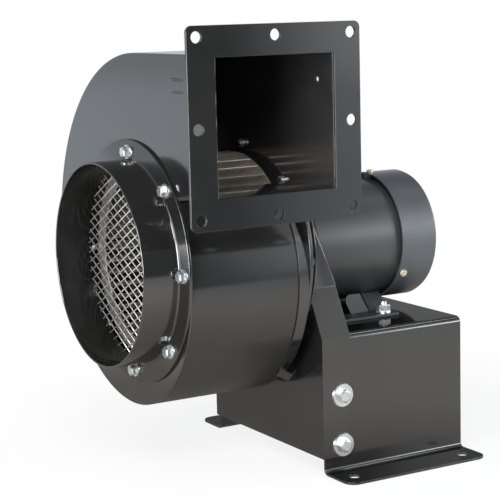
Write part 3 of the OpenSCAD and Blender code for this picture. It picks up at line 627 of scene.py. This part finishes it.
def fastener_tree():
    """Hexagon bolts with a collar, one on each point, turned to the point's facing."""
    if "Hexagon bolts" in bpy.data.node_groups:
        return bpy.data.node_groups["Hexagon bolts"]
    tree, g, size = start_tree("Hexagon bolts", {
        "Flats": ("Float", 0.01), "Head": ("Float", 0.005), "Collar Radius": ("Float", 0.007),
        "Collar Height": ("Float", 0.0014), "Shank Radius": ("Float", 0.003), "Shank Length": ("Float", 0.01),
        "Tip Radius": ("Float", 0.004), "Tip Length": ("Float", 0.0003),
        "Seed": ("Int", 7), "Material": ("Material", None)})
    corner = g.math("MULTIPLY", size["Flats"], 0.5 / math.cos(math.radians(30)))
    prism = g.math("MULTIPLY", size["Head"], 0.78)
    chamfer = g.math("MULTIPLY", size["Head"], 0.22)

    def raised(geometry, height):
        return g.moved(geometry, Translation=g.vector(Z=height))

    def frustum(vertices, radius, taper, depth):
        top = g.math("MULTIPLY", radius, taper)
        return g.node("GeometryNodeMeshCone", {"Vertices": vertices, "Radius Bottom": radius,
                                               "Radius Top": top, "Depth": depth}).outputs["Mesh"]

    collar = frustum(40, size["Collar Radius"], 0.95, size["Collar Height"])
    head = raised(frustum(6, corner, 1.0, prism), size["Collar Height"])
    top = g.math("ADD", size["Collar Height"], prism)
    bevel = raised(frustum(6, corner, 0.86, chamfer), top)
    crown = raised(frustum(24, size["Tip Radius"], 0.86, size["Tip Length"]), g.math("ADD", top, chamfer))
    shank = raised(frustum(18, size["Shank Radius"], 1.0, size["Shank Length"]),
                   g.math("MULTIPLY", size["Shank Length"], -1.0))
    bolt = g.joined(collar, head, bevel, crown, shank)
    facing = g.node("GeometryNodeInputNamedAttribute", {"Name": "facing"},
                    data_type="FLOAT_VECTOR").outputs["Attribute"]
    turn = g.node("FunctionNodeAlignRotationToVector", {"Vector": facing}, axis="Z").outputs["Rotation"]
    placed = g.node("GeometryNodeInstanceOnPoints", {"Points": size["Geometry"], "Instance": bolt,
                                                     "Rotation": turn}).outputs[0]
    chance = g.node("FunctionNodeRandomValue", {"Min": 0.0, "Max": math.radians(60), "Seed": size["Seed"]})
    spin = g.vector(Z=chance.outputs[1])
    tightened = g.node("GeometryNodeRotateInstances", {"Instances": placed, "Rotation": spin}).outputs[0]
    end_tree(g, tightened, size["Material"])
    return tree


def point_mesh(name, places):
    """A mesh of loose points, each with the way it faces, from (place, facing) pairs."""
    mesh = bpy.data.meshes.new(name)
    mesh.from_pydata([p for p, _ in places], [], [])
    facing = mesh.attributes.new("facing", "FLOAT_VECTOR", "POINT")
    for i, (_, way) in enumerate(places):
        facing.data[i].vector = way
    return mesh


def ring_places(count, radius, x, way):
    """Places round the fan axis, the first at the top."""
    angles = [math.radians(90 + 360 * i / count) for i in range(count)]
    return [((x, radius * math.cos(a), AXIS.z + radius * math.sin(a)), (way, 0, 0)) for a in angles]


def bead_tree():
    """A rippled weld bead along the edges of a mesh."""
    if "Weld bead" in bpy.data.node_groups:
        return bpy.data.node_groups["Weld bead"]
    tree, g, size = start_tree("Weld bead", {
        "Radius": ("Float", 0.0013), "Pitch": ("Float", 0.0016), "Ripple": ("Float", 0.12),
        "Material": ("Material", None)})
    path = g.node("GeometryNodeMeshToCurve", {"Mesh": size["Geometry"]}).outputs[0]
    even = g.node("GeometryNodeResampleCurve", {"Curve": path, "Length": size["Pitch"]},
                  mode="LENGTH").outputs[0]
    place = g.node("GeometryNodeInputPosition").outputs[0]
    uneven = g.spread(g.noise(place, 260.0, 2.0), g.math("SUBTRACT", 1.0, size["Ripple"]),
                      g.math("ADD", 1.0, size["Ripple"]))
    section = g.node("GeometryNodeCurvePrimitiveCircle", {
        "Resolution": 8, "Radius": size["Radius"]}).outputs[0]
    skin = g.node("GeometryNodeCurveToMesh", {
        "Curve": even, "Profile Curve": section, "Scale": uneven, "Fill Caps": True}).outputs[0]
    smooth = g.node("GeometryNodeSetShadeSmooth", {"Geometry": skin}).outputs[0]
    end_tree(g, smooth, size["Material"])
    return tree


def loop_mesh(name, loops):
    """Edges that join each list of points into a closed loop."""
    points, edges = [], []
    for loop in loops:
        base = len(points)
        points += loop
        edges += [(base + i, base + (i + 1) % len(loop)) for i in range(len(loop))]
    mesh = bpy.data.meshes.new(name)
    mesh.from_pydata(points, edges, [])
    return mesh


def paint_node(node, material):
    """Gives a CAD node a finish in place of its plain colour."""
    mesh = frame["nodes"][node].data
    mesh.materials.clear()
    mesh.materials.append(material)


class BLOWER_OT_housing(bpy.types.Operator):
    """Scroll sheet, side plates, lip band and motor-side ring"""

    bl_idname = "blower.housing"
    bl_label = "Scroll housing"

    def execute(self, context):
        size, look = context.scene.blower_sizes, finishes(context.scene.blower_colours)
        paint, inside = look["housing paint"], look["inside paint"]
        front, rear = high("front_plate", "x"), low("rear_plate", "x")
        plate_round, near = 0.6 * MM, 0.1 * MM
        for node, name, radius, finish, hidden in (
                ("scroll_wrap", "scroll_sheet", size.sheet_round, "sheet paint",
                 lambda c, n: n.y * c.y + n.z * (c.z - AXIS.z) < 0),
                ("front_plate", "inlet_side_plate", plate_round, "plate paint",
                 lambda c, n: abs(c.x - front) < near),
                ("rear_plate", "motor_side_plate", plate_round, "plate paint",
                 lambda c, n: abs(c.x - rear) < near)):
            piece = dressed(node, name, radius, look[finish])
            piece.data.materials.append(inside)
            # Inner faces take the lighter inside copy of the paint: painted light inside the housing
            repaint(piece, 1, lambda c, n, index: hidden(c, n))
            hand_over(piece, "stand", "housing_paint", node)
        outside, top = low("front_plate", "x"), high("front_plate", "z")
        tab_start, tab_stop, tab_high, recess = -113.9 * MM, -90.1 * MM, 1.3 * MM, 0.15 * MM
        tab_drops = (34.9 * MM, 23.9 * MM)
        boxes = [((outside + recess, tab_start, top - drop), (front, tab_stop, top - drop + tab_high))
                 for drop in tab_drops]
        tabs = rounded(add_piece("slot_tabs", box_mesh("slot tabs", boxes), look["plate paint"]), 0.2 * MM)
        hand_over(tabs, "stand", "housing_paint")
        lip = dressed("rear_lip", "lip_band", 0.3 * MM, paint, look["bare end"])
        tip, bare_high, edge_high = low("rear_lip", "z"), 5 * MM, 9 * MM
        repaint(lip, 0, lambda c, n, index: c.z > tip + edge_high)
        repaint(lip, 1, lambda c, n, index: c.z < tip + bare_high)
        hand_over(lip, "stand", "housing_paint", "rear_lip")
        ring = dressed("motor_ring", "motor_side_ring", size.sheet_round, paint)
        hand_over(ring, "stand", "housing_paint", "motor_ring")
        weld_radius = COLLAR_RADIUS + 0.6 * MM
        weld_places = (WEB_X - 0.8 * MM, low("motor_ring", "x") + 3.6 * MM)
        paths = [circle_points(weld_radius, x) for x in weld_places]
        bead = grown("ring_weld", loop_mesh("ring weld path", paths), bead_tree(),
                     Radius=size.bead, Material=paint)
        hand_over(bead, "stand", "housing_paint")
        return {"FINISHED"}


class BLOWER_OT_outlet(bpy.types.Operator):
    """Square outlet flange with its welded seam"""

    bl_idname = "blower.outlet"
    bl_label = "Outlet flange"

    def execute(self, context):
        size, look = context.scene.blower_sizes, finishes(context.scene.blower_colours)
        paint = look["housing paint"]
        piece = dressed("outlet_flange", "outlet_plate", 0.3 * MM, paint, look["bare rim"])
        x0, x1 = low("front_plate", "x"), high("rear_plate", "x")
        z1 = high("scroll_wrap", "z")
        z0 = 2 * MOUNTS["outlet_corner_bolts"]["pos_m"][2] - z1
        rim, corner = 1.0 * MM, 5.0 * MM

        def rubbed(c):
            """True on the inlet-side rim of the opening and at its low corner on the motor side."""
            if not (x0 - rim < c.x < x1 + rim and z0 < c.z < z1):
                return False
            return c.x < x0 + corner or (c.x > x1 - corner and c.z < z0 + corner)

        repaint(piece, 0, lambda c, n, index: not rubbed(c))
        hand_over(piece, "stand", "housing_paint", "outlet_flange")
        y = high("outlet_flange", "y") + 0.6 * MM
        path = [(x0, y, z0), (x1, y, z0), (x1, y, z1), (x0, y, z1)]
        seam = grown("outlet_weld", loop_mesh("outlet weld path", [path]), bead_tree(),
                     Radius=size.bead, Material=paint)
        hand_over(seam, "stand", "housing_paint")
        return {"FINISHED"}


class BLOWER_OT_inlet(bpy.types.Operator):
    """Inlet collar turned in one piece with its ring flange"""

    bl_idname = "blower.inlet"
    bl_label = "Inlet collar"

    def execute(self, context):
        size, look = context.scene.blower_sizes, finishes(context.scene.blower_colours)
        inner, outer = COLLAR_RADIUS - size.collar_wall, COLLAR_RADIUS
        soft, root, mouth = 0.7 * MM, 2.2 * MM, 0.8 * MM
        outline = [(inner, RING_BACK_X, 0)]
        outline += fillet((RING_RADIUS - soft, RING_BACK_X - soft), soft, 90, 0, 0)
        outline += fillet((RING_RADIUS - soft, RING_FACE_X + soft), soft, 0, -90, 0)
        outline += fillet((outer + root, RING_FACE_X - root), root, 90, 180, 0)
        outline += fillet((outer - mouth, MOUTH_X + mouth), mouth, 0, -90, 0)
        outline += fillet((inner + mouth, MOUTH_X + mouth), mouth, -90, -180, 0)
        # The inner face takes the darker inside copy of the paint: painted shade inside the collar
        outline[-1] = (*outline[-1][:2], 1)
        collar = turned("inlet_collar_turned", outline, [look["housing paint"], look["collar lining"]])
        hand_over(collar, "stand", "collar_paint", "inlet_collar")
        return {"FINISHED"}


class BLOWER_OT_guard(bpy.types.Operator):
    """Diamond guard of two layers of strands across the inlet"""

    bl_idname = "blower.guard"
    bl_label = "Inlet guard"

    def tree(self):
        tree, g, size = start_tree("Diamond guard", {
            "Radius": ("Float", 0.098), "Diamond Width": ("Float", 0.0185), "Diamond Height": ("Float", 0.01),
            "Strand": ("Float", 0.0012), "Rows": ("Int", 21), "Material": ("Material", None)})
        slope = g.math("ARCTAN2", size["Diamond Height"], size["Diamond Width"])
        pitch = g.math("MULTIPLY", size["Diamond Height"], g.math("COSINE", slope))
        first = g.math("MULTIPLY", pitch, g.math("MULTIPLY", g.math("SUBTRACT", size["Rows"], 1.0), -0.5))
        rows = g.node("GeometryNodeMeshLine", {
            "Count": size["Rows"], "Start Location": g.vector(Y=first), "Offset": g.vector(Y=pitch)},
            mode="OFFSET").outputs[0]
        place = g.part(g.node("GeometryNodeInputPosition").outputs[0], "Y")
        square = g.math("SUBTRACT", g.math("MULTIPLY", size["Radius"], size["Radius"]),
                        g.math("MULTIPLY", place, place))
        chord = g.math("SQRT", g.math("MAXIMUM", square, 0.0))
        wire = g.node("GeometryNodeMeshCylinder", {
            "Vertices": 10, "Radius": g.math("MULTIPLY", size["Strand"], 0.5), "Depth": 2.0}).outputs["Mesh"]
        lying = g.moved(wire, Rotation=Euler((0, math.pi / 2, 0)))
        layer = g.node("GeometryNodeInstanceOnPoints", {
            "Points": rows, "Instance": lying, "Scale": g.vector(X=chord, Y=1.0, Z=1.0)}).outputs[0]
        lift_share, layers = 0.36, []
        for way in (1.0, -1.0):
            turn = g.vector(Z=g.math("MULTIPLY", slope, way))
            lift = g.vector(Z=g.math("MULTIPLY", size["Strand"], lift_share * way))
            layers.append(g.moved(layer, Translation=lift, Rotation=turn))
        smooth = g.node("GeometryNodeSetShadeSmooth", {"Geometry": g.joined(*layers)}).outputs[0]
        end_tree(g, smooth, size["Material"])
        return tree

    def execute(self, context):
        size, look = context.scene.blower_sizes, finishes(context.scene.blower_colours)
        radius = COLLAR_RADIUS - size.collar_wall - 0.1 * MM
        slope = math.atan2(size.diamond_high, size.diamond_wide)
        rows = 2 * int((radius - 1.5 * MM) / (size.diamond_high * math.cos(slope))) + 1
        guard = grown("guard_strands", bpy.data.meshes.new("guard"), self.tree(), Radius=radius,
                      Diamond_Width=size.diamond_wide, Diamond_Height=size.diamond_high, Strand=size.strand,
                      Rows=rows, Material=look["guard wire"])
        middle = 0.5 * (low("inlet_guard", "x") + high("inlet_guard", "x"))
        upright = Matrix(((0, 0, -1, middle), (-1, 0, 0, 0), (0, 1, 0, AXIS.z), (0, 0, 0, 1)))
        guard.data.transform(upright)
        hand_over(guard, "stand", "guard_steel", "inlet_guard")
        return {"FINISHED"}


class BLOWER_OT_fasteners(bpy.types.Operator):
    """Hexagon bolts of rings, stand and motor foot"""

    bl_idname = "blower.fasteners"
    bl_label = "Bolts"

    def execute(self, context):
        size, look = context.scene.blower_sizes, finishes(context.scene.blower_colours)
        zinc, tree = look["bright zinc"], fastener_tree()
        crown_share, crown_high = 0.43, 0.3 * MM
        ring = {"Flats": size.ring_bolt_flats, "Head": size.ring_bolt_head,
                "Collar_Radius": size.ring_bolt_collar, "Collar_Height": 1.4 * MM,
                "Shank_Radius": 3.0 * MM, "Shank_Length": 11.0 * MM,
                "Tip_Radius": crown_share * size.ring_bolt_flats, "Tip_Length": crown_high}
        back_x = low("motor_ring", "x") + 3.0 * MM
        for node, name, x, way, finish, slot in (
                ("inlet_bolts", "inlet_ring_bolts", RING_FACE_X, -1, "bright zinc", "zinc"),
                ("motor_ring_bolts", "motor_ring_screws", back_x, 1, "housing paint", "housing_paint")):
            places = ring_places(8, BOLT_CIRCLE, x, way)
            piece = grown(name, point_mesh(name, places), tree, Material=look[finish], **ring)
            hand_over(piece, "stand", slot, node)
        wall = high("upright_bracket", "y")
        x = 0.5 * (low("bracket_washers", "x") + high("bracket_washers", "x"))
        wide_washer = 0.5 * (high("bracket_washers", "x") - low("bracket_washers", "x"))
        bottom, top = low("bracket_washers", "z") + wide_washer, high("bracket_washers", "z") - wide_washer
        places = [((x, s * wall, z), (0, s, 0)) for s in (-1, 1) for z in (bottom, top)]
        stand = {"Flats": size.stand_bolt_flats, "Shank_Radius": 4.0 * MM, "Material": zinc}
        piece = grown("stand_bolts", point_mesh("stand bolts", places), tree,
                      Collar_Radius=wide_washer, Collar_Height=2.0 * MM, Shank_Length=14.5 * MM, Seed=3,
                      Head=size.stand_bolt_head, Tip_Radius=crown_share * size.stand_bolt_flats,
                      Tip_Length=crown_high, **stand)
        hand_over(piece, "stand", "zinc", "bracket_bolts", "bracket_washers")
        foot_washer = 8.0 * MM
        xs = (low("foot_washers", "x") + foot_washer, high("foot_washers", "x") - foot_washer)
        y = high("foot_washers", "y") - foot_washer
        places = [((x, s * y, low("foot_washers", "z")), (0, 0, 1)) for s in (-1, 1) for x in xs]
        piece = grown("motor_foot_bolts", point_mesh("motor foot bolts", places), tree,
                      Collar_Radius=foot_washer, Collar_Height=1.6 * MM, Shank_Length=15.0 * MM, Seed=11,
                      Head=size.foot_nut, Tip_Radius=3.9 * MM, Tip_Length=size.foot_stud, **stand)
        hand_over(piece, "stand", "zinc", "foot_bolts", "foot_washers")
        for node in ("bracket_nuts", "inlet_nuts", "motor_ring_nuts", "foot_nuts", "tie_rods"):
            paint_node(node, zinc)
        return {"FINISHED"}


class BLOWER_OT_stand(bpy.types.Operator):
    """Folded base and upright"""

    bl_idname = "blower.stand"
    bl_label = "Stand"

    def execute(self, context):
        size, look = context.scene.blower_sizes, finishes(context.scene.blower_colours)
        paint, level = look["stand paint"], 0.98
        base = dressed("base_box", "folded_base", size.sheet_round, paint, look["stand top paint"])
        # Up-facing faces take the darker top copy of the paint: painted shade
        repaint(base, 0, lambda c, n, index: n.z < level)
        repaint(base, 1, lambda c, n, index: n.z >= level)
        hand_over(base, "stand", "stand_paint", "base_box")
        upright = dressed("upright_bracket", "folded_upright", size.sheet_round, paint, look["rubbed edge"])
        taper = high("base_box", "z") + 45.0 * MM
        repaint(upright, 0, lambda c, n, index: c.z < taper or n.x < 0.3)
        hand_over(upright, "stand", "stand_paint", "upright_bracket")
        return {"FINISHED"}


class BLOWER_OT_motor(bpy.types.Operator):
    """Motor shell, end shields, foot, cowl and terminal box"""

    bl_idname = "blower.motor"
    bl_label = "Motor"

    def execute(self, context):
        size, look = context.scene.blower_sizes, finishes(context.scene.blower_colours)
        for node, name, radius, finish, slot in (
                ("motor_shell", "motor_tube", size.sheet_round, "motor paint", "motor_paint"),
                ("motor_foot", "motor_rails", size.sheet_round, "motor paint", "motor_paint"),
                ("fan_cowl", "cowl_cap", size.sheet_round, "cowl paint", "motor_paint"),
                ("front_shield", "drive_end_shield", size.casting_round, "shield paint", "shield_casting"),
                ("rear_shield", "fan_end_shield", size.casting_round, "shield paint", "shield_casting"),
                ("terminal_box", "wiring_box", size.casting_round, "shield paint", "motor_paint"),
                ("terminal_lid", "wiring_lid", size.casting_round, "shield paint", "motor_paint"),
                ("cable_gland", "wiring_gland", size.small_round, "fan plastic", "black_plastic"),
                ("cowl_screws", "cowl_pan_screws", size.small_round, "yellow zinc", "yellow_zinc"),
                ("lid_screws", "lid_pan_screws", size.small_round, "bright zinc", "zinc")):
            piece = dressed(node, name, radius, look[finish])
            hand_over(piece, "stand", slot, node)
        for node, finish in (("stator_core", "core sheet"), ("stator_windings", "winding"),
                             ("front_bearing_outer", "ground steel"), ("rear_bearing_outer", "ground steel"),
                             ("preload_spring", "ground steel")):
            paint_node(node, look[finish])
        return {"FINISHED"}


class BLOWER_OT_impeller(bpy.types.Operator):
    """Forward-curved blades with their ring, disc and hub"""

    bl_idname = "blower.impeller"
    bl_label = "Impeller"

    def tree(self):
        tree, g, size = start_tree("Blade ring", {
            "Count": ("Int", 44), "Inner Radius": ("Float", 0.084), "Outer Radius": ("Float", 0.1),
            "Pivot": ("Float", 0.09), "Arc": ("Float", 0.013), "Sheet": ("Float", 0.0009),
            "Width": ("Float", 0.1), "Material": ("Material", None)})

        def crossing(radius):
            square = g.math("MULTIPLY", radius, radius)
            legs = g.math("ADD", g.math("MULTIPLY", size["Pivot"], size["Pivot"]),
                          g.math("MULTIPLY", size["Arc"], size["Arc"]))
            base = g.math("MULTIPLY", 2.0, g.math("MULTIPLY", size["Pivot"], size["Arc"]))
            return g.math("ARCCOSINE", g.math("DIVIDE", g.math("SUBTRACT", square, legs), base))

        start, stop = crossing(size["Inner Radius"]), crossing(size["Outer Radius"])
        arc = g.node("GeometryNodeCurveArc", {
            "Resolution": 9, "Radius": size["Arc"], "Start Angle": g.math("MULTIPLY", start, -1.0),
            "Sweep Angle": g.math("SUBTRACT", start, stop)}, mode="RADIUS").outputs[0]
        section = g.moved(arc, Translation=g.vector(X=size["Pivot"]))
        far = g.vector(Z=size["Width"])
        edge = g.node("GeometryNodeCurvePrimitiveLine", {"End": far}, mode="POINTS").outputs[0]
        upright = g.node("GeometryNodeCurveToMesh", {"Curve": edge, "Profile Curve": section}).outputs[0]
        thick = g.node("GeometryNodeExtrudeMesh", {
            "Mesh": upright, "Offset Scale": size["Sheet"], "Individual": False},
            mode="FACES").outputs["Mesh"]
        under = g.node("GeometryNodeFlipFaces", {"Mesh": upright}).outputs[0]
        closed = g.node("GeometryNodeMergeByDistance", {
            "Geometry": g.joined(thick, under), "Distance": 0.01 * MM}).outputs[0]
        points = g.node("GeometryNodePoints", {"Count": size["Count"]}).outputs[0]
        index = g.node("GeometryNodeInputIndex").outputs[0]
        step = g.math("MULTIPLY", index, g.math("DIVIDE", 2 * math.pi, size["Count"]))
        wheel = g.node("GeometryNodeInstanceOnPoints", {
            "Points": points, "Instance": closed, "Rotation": g.vector(Z=step)}).outputs[0]
        end_tree(g, wheel, size["Material"])
        return tree

    def execute(self, context):
        size, look = context.scene.blower_sizes, finishes(context.scene.blower_colours)
        sheet, zinc, steel = look["impeller sheet"], look["bright zinc"], look["turned steel"]
        ground = look["ground steel"]
        x0, x1 = low("impeller_blades", "x"), high("impeller_blades", "x")
        rim = high("impeller_front_ring", "y") - 0.1 * MM
        blades = grown("blade_ring", bpy.data.meshes.new("blades"), self.tree(), Count=size.blade_count,
                       Inner_Radius=size.blade_inner, Outer_Radius=rim, Pivot=size.blade_pivot,
                       Arc=size.blade_arc, Sheet=size.blade_sheet, Width=x1 - x0, Material=sheet)
        blades.data.transform(Matrix(((0, 0, 1, x0), (1, 0, 0, 0), (0, 1, 0, AXIS.z), (0, 0, 0, 1))))
        for face in blades.data.polygons:
            face.use_smooth = True
        blades.data.set_sharp_from_angle(angle=math.radians(40))
        hand_over(blades, "rotor", "galvanised_sheet", "impeller_blades")
        for node, name, finish, slot in (
                ("impeller_front_ring", "eye_ring", sheet, "galvanised_sheet"),
                ("impeller_back_disc", "back_disc", sheet, "galvanised_sheet"),
                ("impeller_hub", "wheel_hub", steel, "shaft_steel"),
                ("hub_rivets", "hub_rivet_heads", zinc, "zinc"),
                ("end_washer", "shaft_end_washer", zinc, "zinc"),
                ("end_screw", "shaft_end_screw", zinc, "zinc"),
                ("cooling_fan", "cooling_wheel", look["fan plastic"], "black_plastic")):
            hand_over(dressed(node, name, size.small_round, finish), "rotor", slot, node)
        for node, finish in (("motor_shaft", steel), ("shaft_key", steel), ("hub_set_screw", steel),
                             ("rotor_core", look["core sheet"]), ("rotor_end_rings", look["cast aluminium"]),
                             ("front_bearing_inner", ground), ("rear_bearing_inner", ground),
                             ("shaft_slinger", look["seal rubber"]), ("fan_clip", ground),
                             ("front_ball_cage", ground), ("rear_ball_cage", ground)):
            paint_node(node, finish)
        return {"FINISHED"}


class BLOWER_OT_stage(bpy.types.Operator):
    """Pale floor, white surround, soft lamps and the camera"""

    bl_idname = "blower.stage"
    bl_label = "Stage"

    azimuth, elevation, roll = math.radians(-30.24), math.radians(8.92), math.radians(-1.45)
    target = Vector((-0.1026, 0.0, 0.2150))
    distance = 1.6024
    lens_px, image_px, sensor = 1569.21, 500.0, 36.0

    def camera(self, scene):
        data = bpy.data.cameras.new("camera")
        data.sensor_width = self.sensor
        data.lens = self.lens_px / self.image_px * self.sensor
        data.clip_end = 50
        camera = bpy.data.objects.new("camera", data)
        scene.collection.objects.link(camera)
        a, e, r = self.azimuth, self.elevation, self.roll
        back = Vector((math.sin(a) * math.cos(e), -math.cos(a) * math.cos(e), math.sin(e)))
        right = Vector((0, 0, 1)).cross(back).normalized()
        up = back.cross(right)
        right, up = right * math.cos(r) + up * math.sin(r), up * math.cos(r) - right * math.sin(r)
        turn = Matrix((right, up, back)).transposed().to_4x4()
        camera.matrix_world = Matrix.Translation(self.target + back * self.distance) @ turn
        scene.camera = camera

    def lamp(self, scene, name, place, aim, size, watts):
        data = bpy.data.lights.new(name, "AREA")
        data.shape = "RECTANGLE"
        data.size, data.size_y = size
        data.energy = watts
        lamp = bpy.data.objects.new(name, data)
        scene.collection.objects.link(lamp)
        lamp.location = place
        lamp.rotation_euler = (Vector(aim) - Vector(place)).to_track_quat("-Z", "Y").to_euler()

    def seen_ray(self, g):
        """One for rays that show the background: camera, glossy and transmission."""
        path = g.node("ShaderNodeLightPath").outputs
        shown = g.math("MAXIMUM", path["Is Camera Ray"], path["Is Glossy Ray"])
        return g.math("MAXIMUM", shown, path["Is Transmission Ray"])

    def surround(self, scene):
        """White surround. Reflections see it cool, and darker overhead, as under a studio ceiling."""
        world = bpy.data.worlds.new("white surround")
        world.use_nodes = True
        world.node_tree.nodes.clear()
        g = Graph(world.node_tree)
        path = g.node("ShaderNodeLightPath").outputs
        way = g.node("ShaderNodeTexCoord").outputs["Generated"]
        height = g.part(way, "Z")
        front = g.spread(height, 1.2, 0.03, 0.47, 0.52)
        back = g.spread(height, 0.66, 0.2, 0.15, 0.8)
        sky = g.between(g.spread(g.part(way, "Y"), 0.0, 1.0, -0.4, 0.3), front, back)
        shown = g.between(path["Is Camera Ray"], sky, 1.0)
        fill = 0.34
        strength = g.between(self.seen_ray(g), fill, shown)
        tint = g.blend(path["Is Camera Ray"], (0.90, 0.95, 1.0, 1.0), (1.0, 1.0, 1.0, 1.0))
        light = g.node("ShaderNodeBackground", {"Color": tint, "Strength": strength}).outputs[0]
        g.node("ShaderNodeOutputWorld", {"Surface": light})
        scene.world = world

    def floor(self, scene, colour):
        """One large triangle. It is white further out. Reflections see painted light on it: a painted shadow
        behind the blower, painted shade far in front, and a painted warm tint near that turns cool further out.
        """
        mesh = bpy.data.meshes.new("floor")
        reach, drop = 15.0, 0.4 * MM
        angles = [math.radians(a) for a in (90, 210, 330)]
        corners = [(reach * math.cos(a), reach * math.sin(a), -drop) for a in angles]
        mesh.from_pydata(corners, [], [(0, 1, 2)])
        material, g, place = start_material("studio floor")
        tint = g.blend(g.spread(g.noise(place, 3.0, 3.0), 0.0, 1.0), shade(colour, 0.985), shade(colour, 1.0))
        flat = g.node("ShaderNodeBsdfDiffuse", {"Color": tint}).outputs[0]
        path = g.node("ShaderNodeLightPath").outputs
        away = g.node("ShaderNodeVectorMath", {0: place}, operation="LENGTH").outputs["Value"]
        white = g.node("ShaderNodeEmission", {"Color": (1.0, 1.0, 1.0, 1.0)}).outputs[0]
        fade = g.math("MULTIPLY", g.spread(away, 0.82, 1.0, 0.2, 0.5), path["Is Camera Ray"])
        seen = g.node("ShaderNodeMixShader", {0: fade, 1: flat, 2: white}).outputs[0]
        # Painted shadow: reflections see the floor dimmer near this middle behind the blower
        painted_shadow_middle = (-0.15, 0.22, 0.0)
        behind = g.node("ShaderNodeVectorMath", {0: place, 1: painted_shadow_middle},
                        operation="DISTANCE").outputs["Value"]
        # Painted tint: warm near the blower, cool further out
        cast = g.blend(g.spread(behind, 0.0, 1.0, 0.5, 1.6), (1.0, 0.93, 0.85, 1.0), (0.84, 0.92, 1.0, 1.0))
        # Painted shade: reflections see the floor dimmer far in front
        forward = g.spread(g.part(place, "Y"), 0.76, 1.0, -1.15, -0.65)
        strength = g.math("MULTIPLY", g.spread(behind, 0.36, 1.0, 0.28, 0.62), forward)
        painted_reflected_floor = g.node("ShaderNodeEmission", {"Color": cast, "Strength": strength}).outputs[0]
        mirrored = g.math("MAXIMUM", path["Is Glossy Ray"], path["Is Transmission Ray"])
        mixed = g.node("ShaderNodeMixShader", {0: mirrored, 1: seen, 2: painted_reflected_floor}).outputs[0]
        g.node("ShaderNodeOutputMaterial", {"Surface": mixed})
        add_piece("floor", mesh, material)

    def flag(self, scene):
        """A dark card beside the camera, soft at its right edge and seen only in reflections."""
        x0, x1, y, top, soft = -0.55, 0.77, -1.45, 1.3, 0.24
        mesh = bpy.data.meshes.new("flag")
        mesh.from_pydata([(x0, y, 0), (x1, y, 0), (x1, y, top), (x0, y, top)], [], [(0, 1, 2, 3)])
        material, g, place = start_material("dark card")
        dark = g.node("ShaderNodeBsdfDiffuse", {"Color": (0.03, 0.03, 0.03, 1)}).outputs[0]
        clear = g.node("ShaderNodeBsdfTransparent").outputs[0]
        share = g.spread(g.part(place, "X"), 0.95, 0.0, x1 - soft, x1)
        card_face = g.node("ShaderNodeMixShader", {0: share, 1: clear, 2: dark}).outputs[0]
        g.node("ShaderNodeOutputMaterial", {"Surface": card_face})
        card = add_piece("flag", mesh, material)
        card.visible_camera = card.visible_diffuse = card.visible_shadow = card.visible_transmission = False

    def execute(self, context):
        scene = context.scene
        scene.view_settings.view_transform = "Standard"
        self.camera(scene)
        self.surround(scene)
        self.floor(scene, scene.blower_colours.floor)
        self.flag(scene)
        middle = (-0.08, 0.0, 0.22)
        self.lamp(scene, "key softbox", (-0.95, -1.7, 1.5), middle, (0.9, 0.7), 34)
        self.lamp(scene, "left softbox", (-1.9, -0.35, 0.75), middle, (1.0, 1.0), 12)
        self.lamp(scene, "inlet softbox", (-1.3, -0.75, 0.35), (-0.2, 0.03, 0.21), (0.5, 0.5), 19)
        self.lamp(scene, "right softbox", (1.8, -0.9, 0.8), middle, (1.0, 1.0), 8)
        self.lamp(scene, "low softbox", (1.35, -1.5, 0.60), middle, (0.6, 0.5), 7.5)
        self.lamp(scene, "high softbox", (1.1, -1.3, 1.4), middle, (0.6, 0.6), 0.9)
        self.lamp(scene, "edge softbox", (1.25, -0.3, 2.0), middle, (0.4, 0.4), 2)
        return {"FINISHED"}


class BLOWER_PT_panel(bpy.types.Panel):
    """Lists the steps, sizes and colours of the blower"""

    bl_idname = "BLOWER_PT_panel"
    bl_label = "Blower"
    bl_space_type = "VIEW_3D"
    bl_region_type = "UI"
    bl_category = "Blower"

    def draw(self, context):
        for step in STEPS:
            self.layout.operator(step.bl_idname)
        for group in (context.scene.blower_sizes, context.scene.blower_colours):
            for key in group.__annotations__:
                self.layout.prop(group, key)


STEPS = (BLOWER_OT_stage, BLOWER_OT_housing, BLOWER_OT_outlet, BLOWER_OT_inlet, BLOWER_OT_guard,
         BLOWER_OT_stand, BLOWER_OT_motor, BLOWER_OT_fasteners, BLOWER_OT_impeller)
CLASSES = (BlowerSizes, BlowerColours, *STEPS, BLOWER_PT_panel)


def register():
    for cls in CLASSES:
        bpy.utils.register_class(cls)
    bpy.types.Scene.blower_sizes = bpy.props.PointerProperty(type=BlowerSizes)
    bpy.types.Scene.blower_colours = bpy.props.PointerProperty(type=BlowerColours)


def unregister():
    del bpy.types.Scene.blower_colours
    del bpy.types.Scene.blower_sizes
    for cls in reversed(CLASSES):
        bpy.utils.unregister_class(cls)


def main():
    """Registers the add-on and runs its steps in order."""
    register()
    for step in STEPS:
        group, name = step.bl_idname.split(".")
        getattr(getattr(bpy.ops, group), name)()


if __name__ == "__main__":
    main()
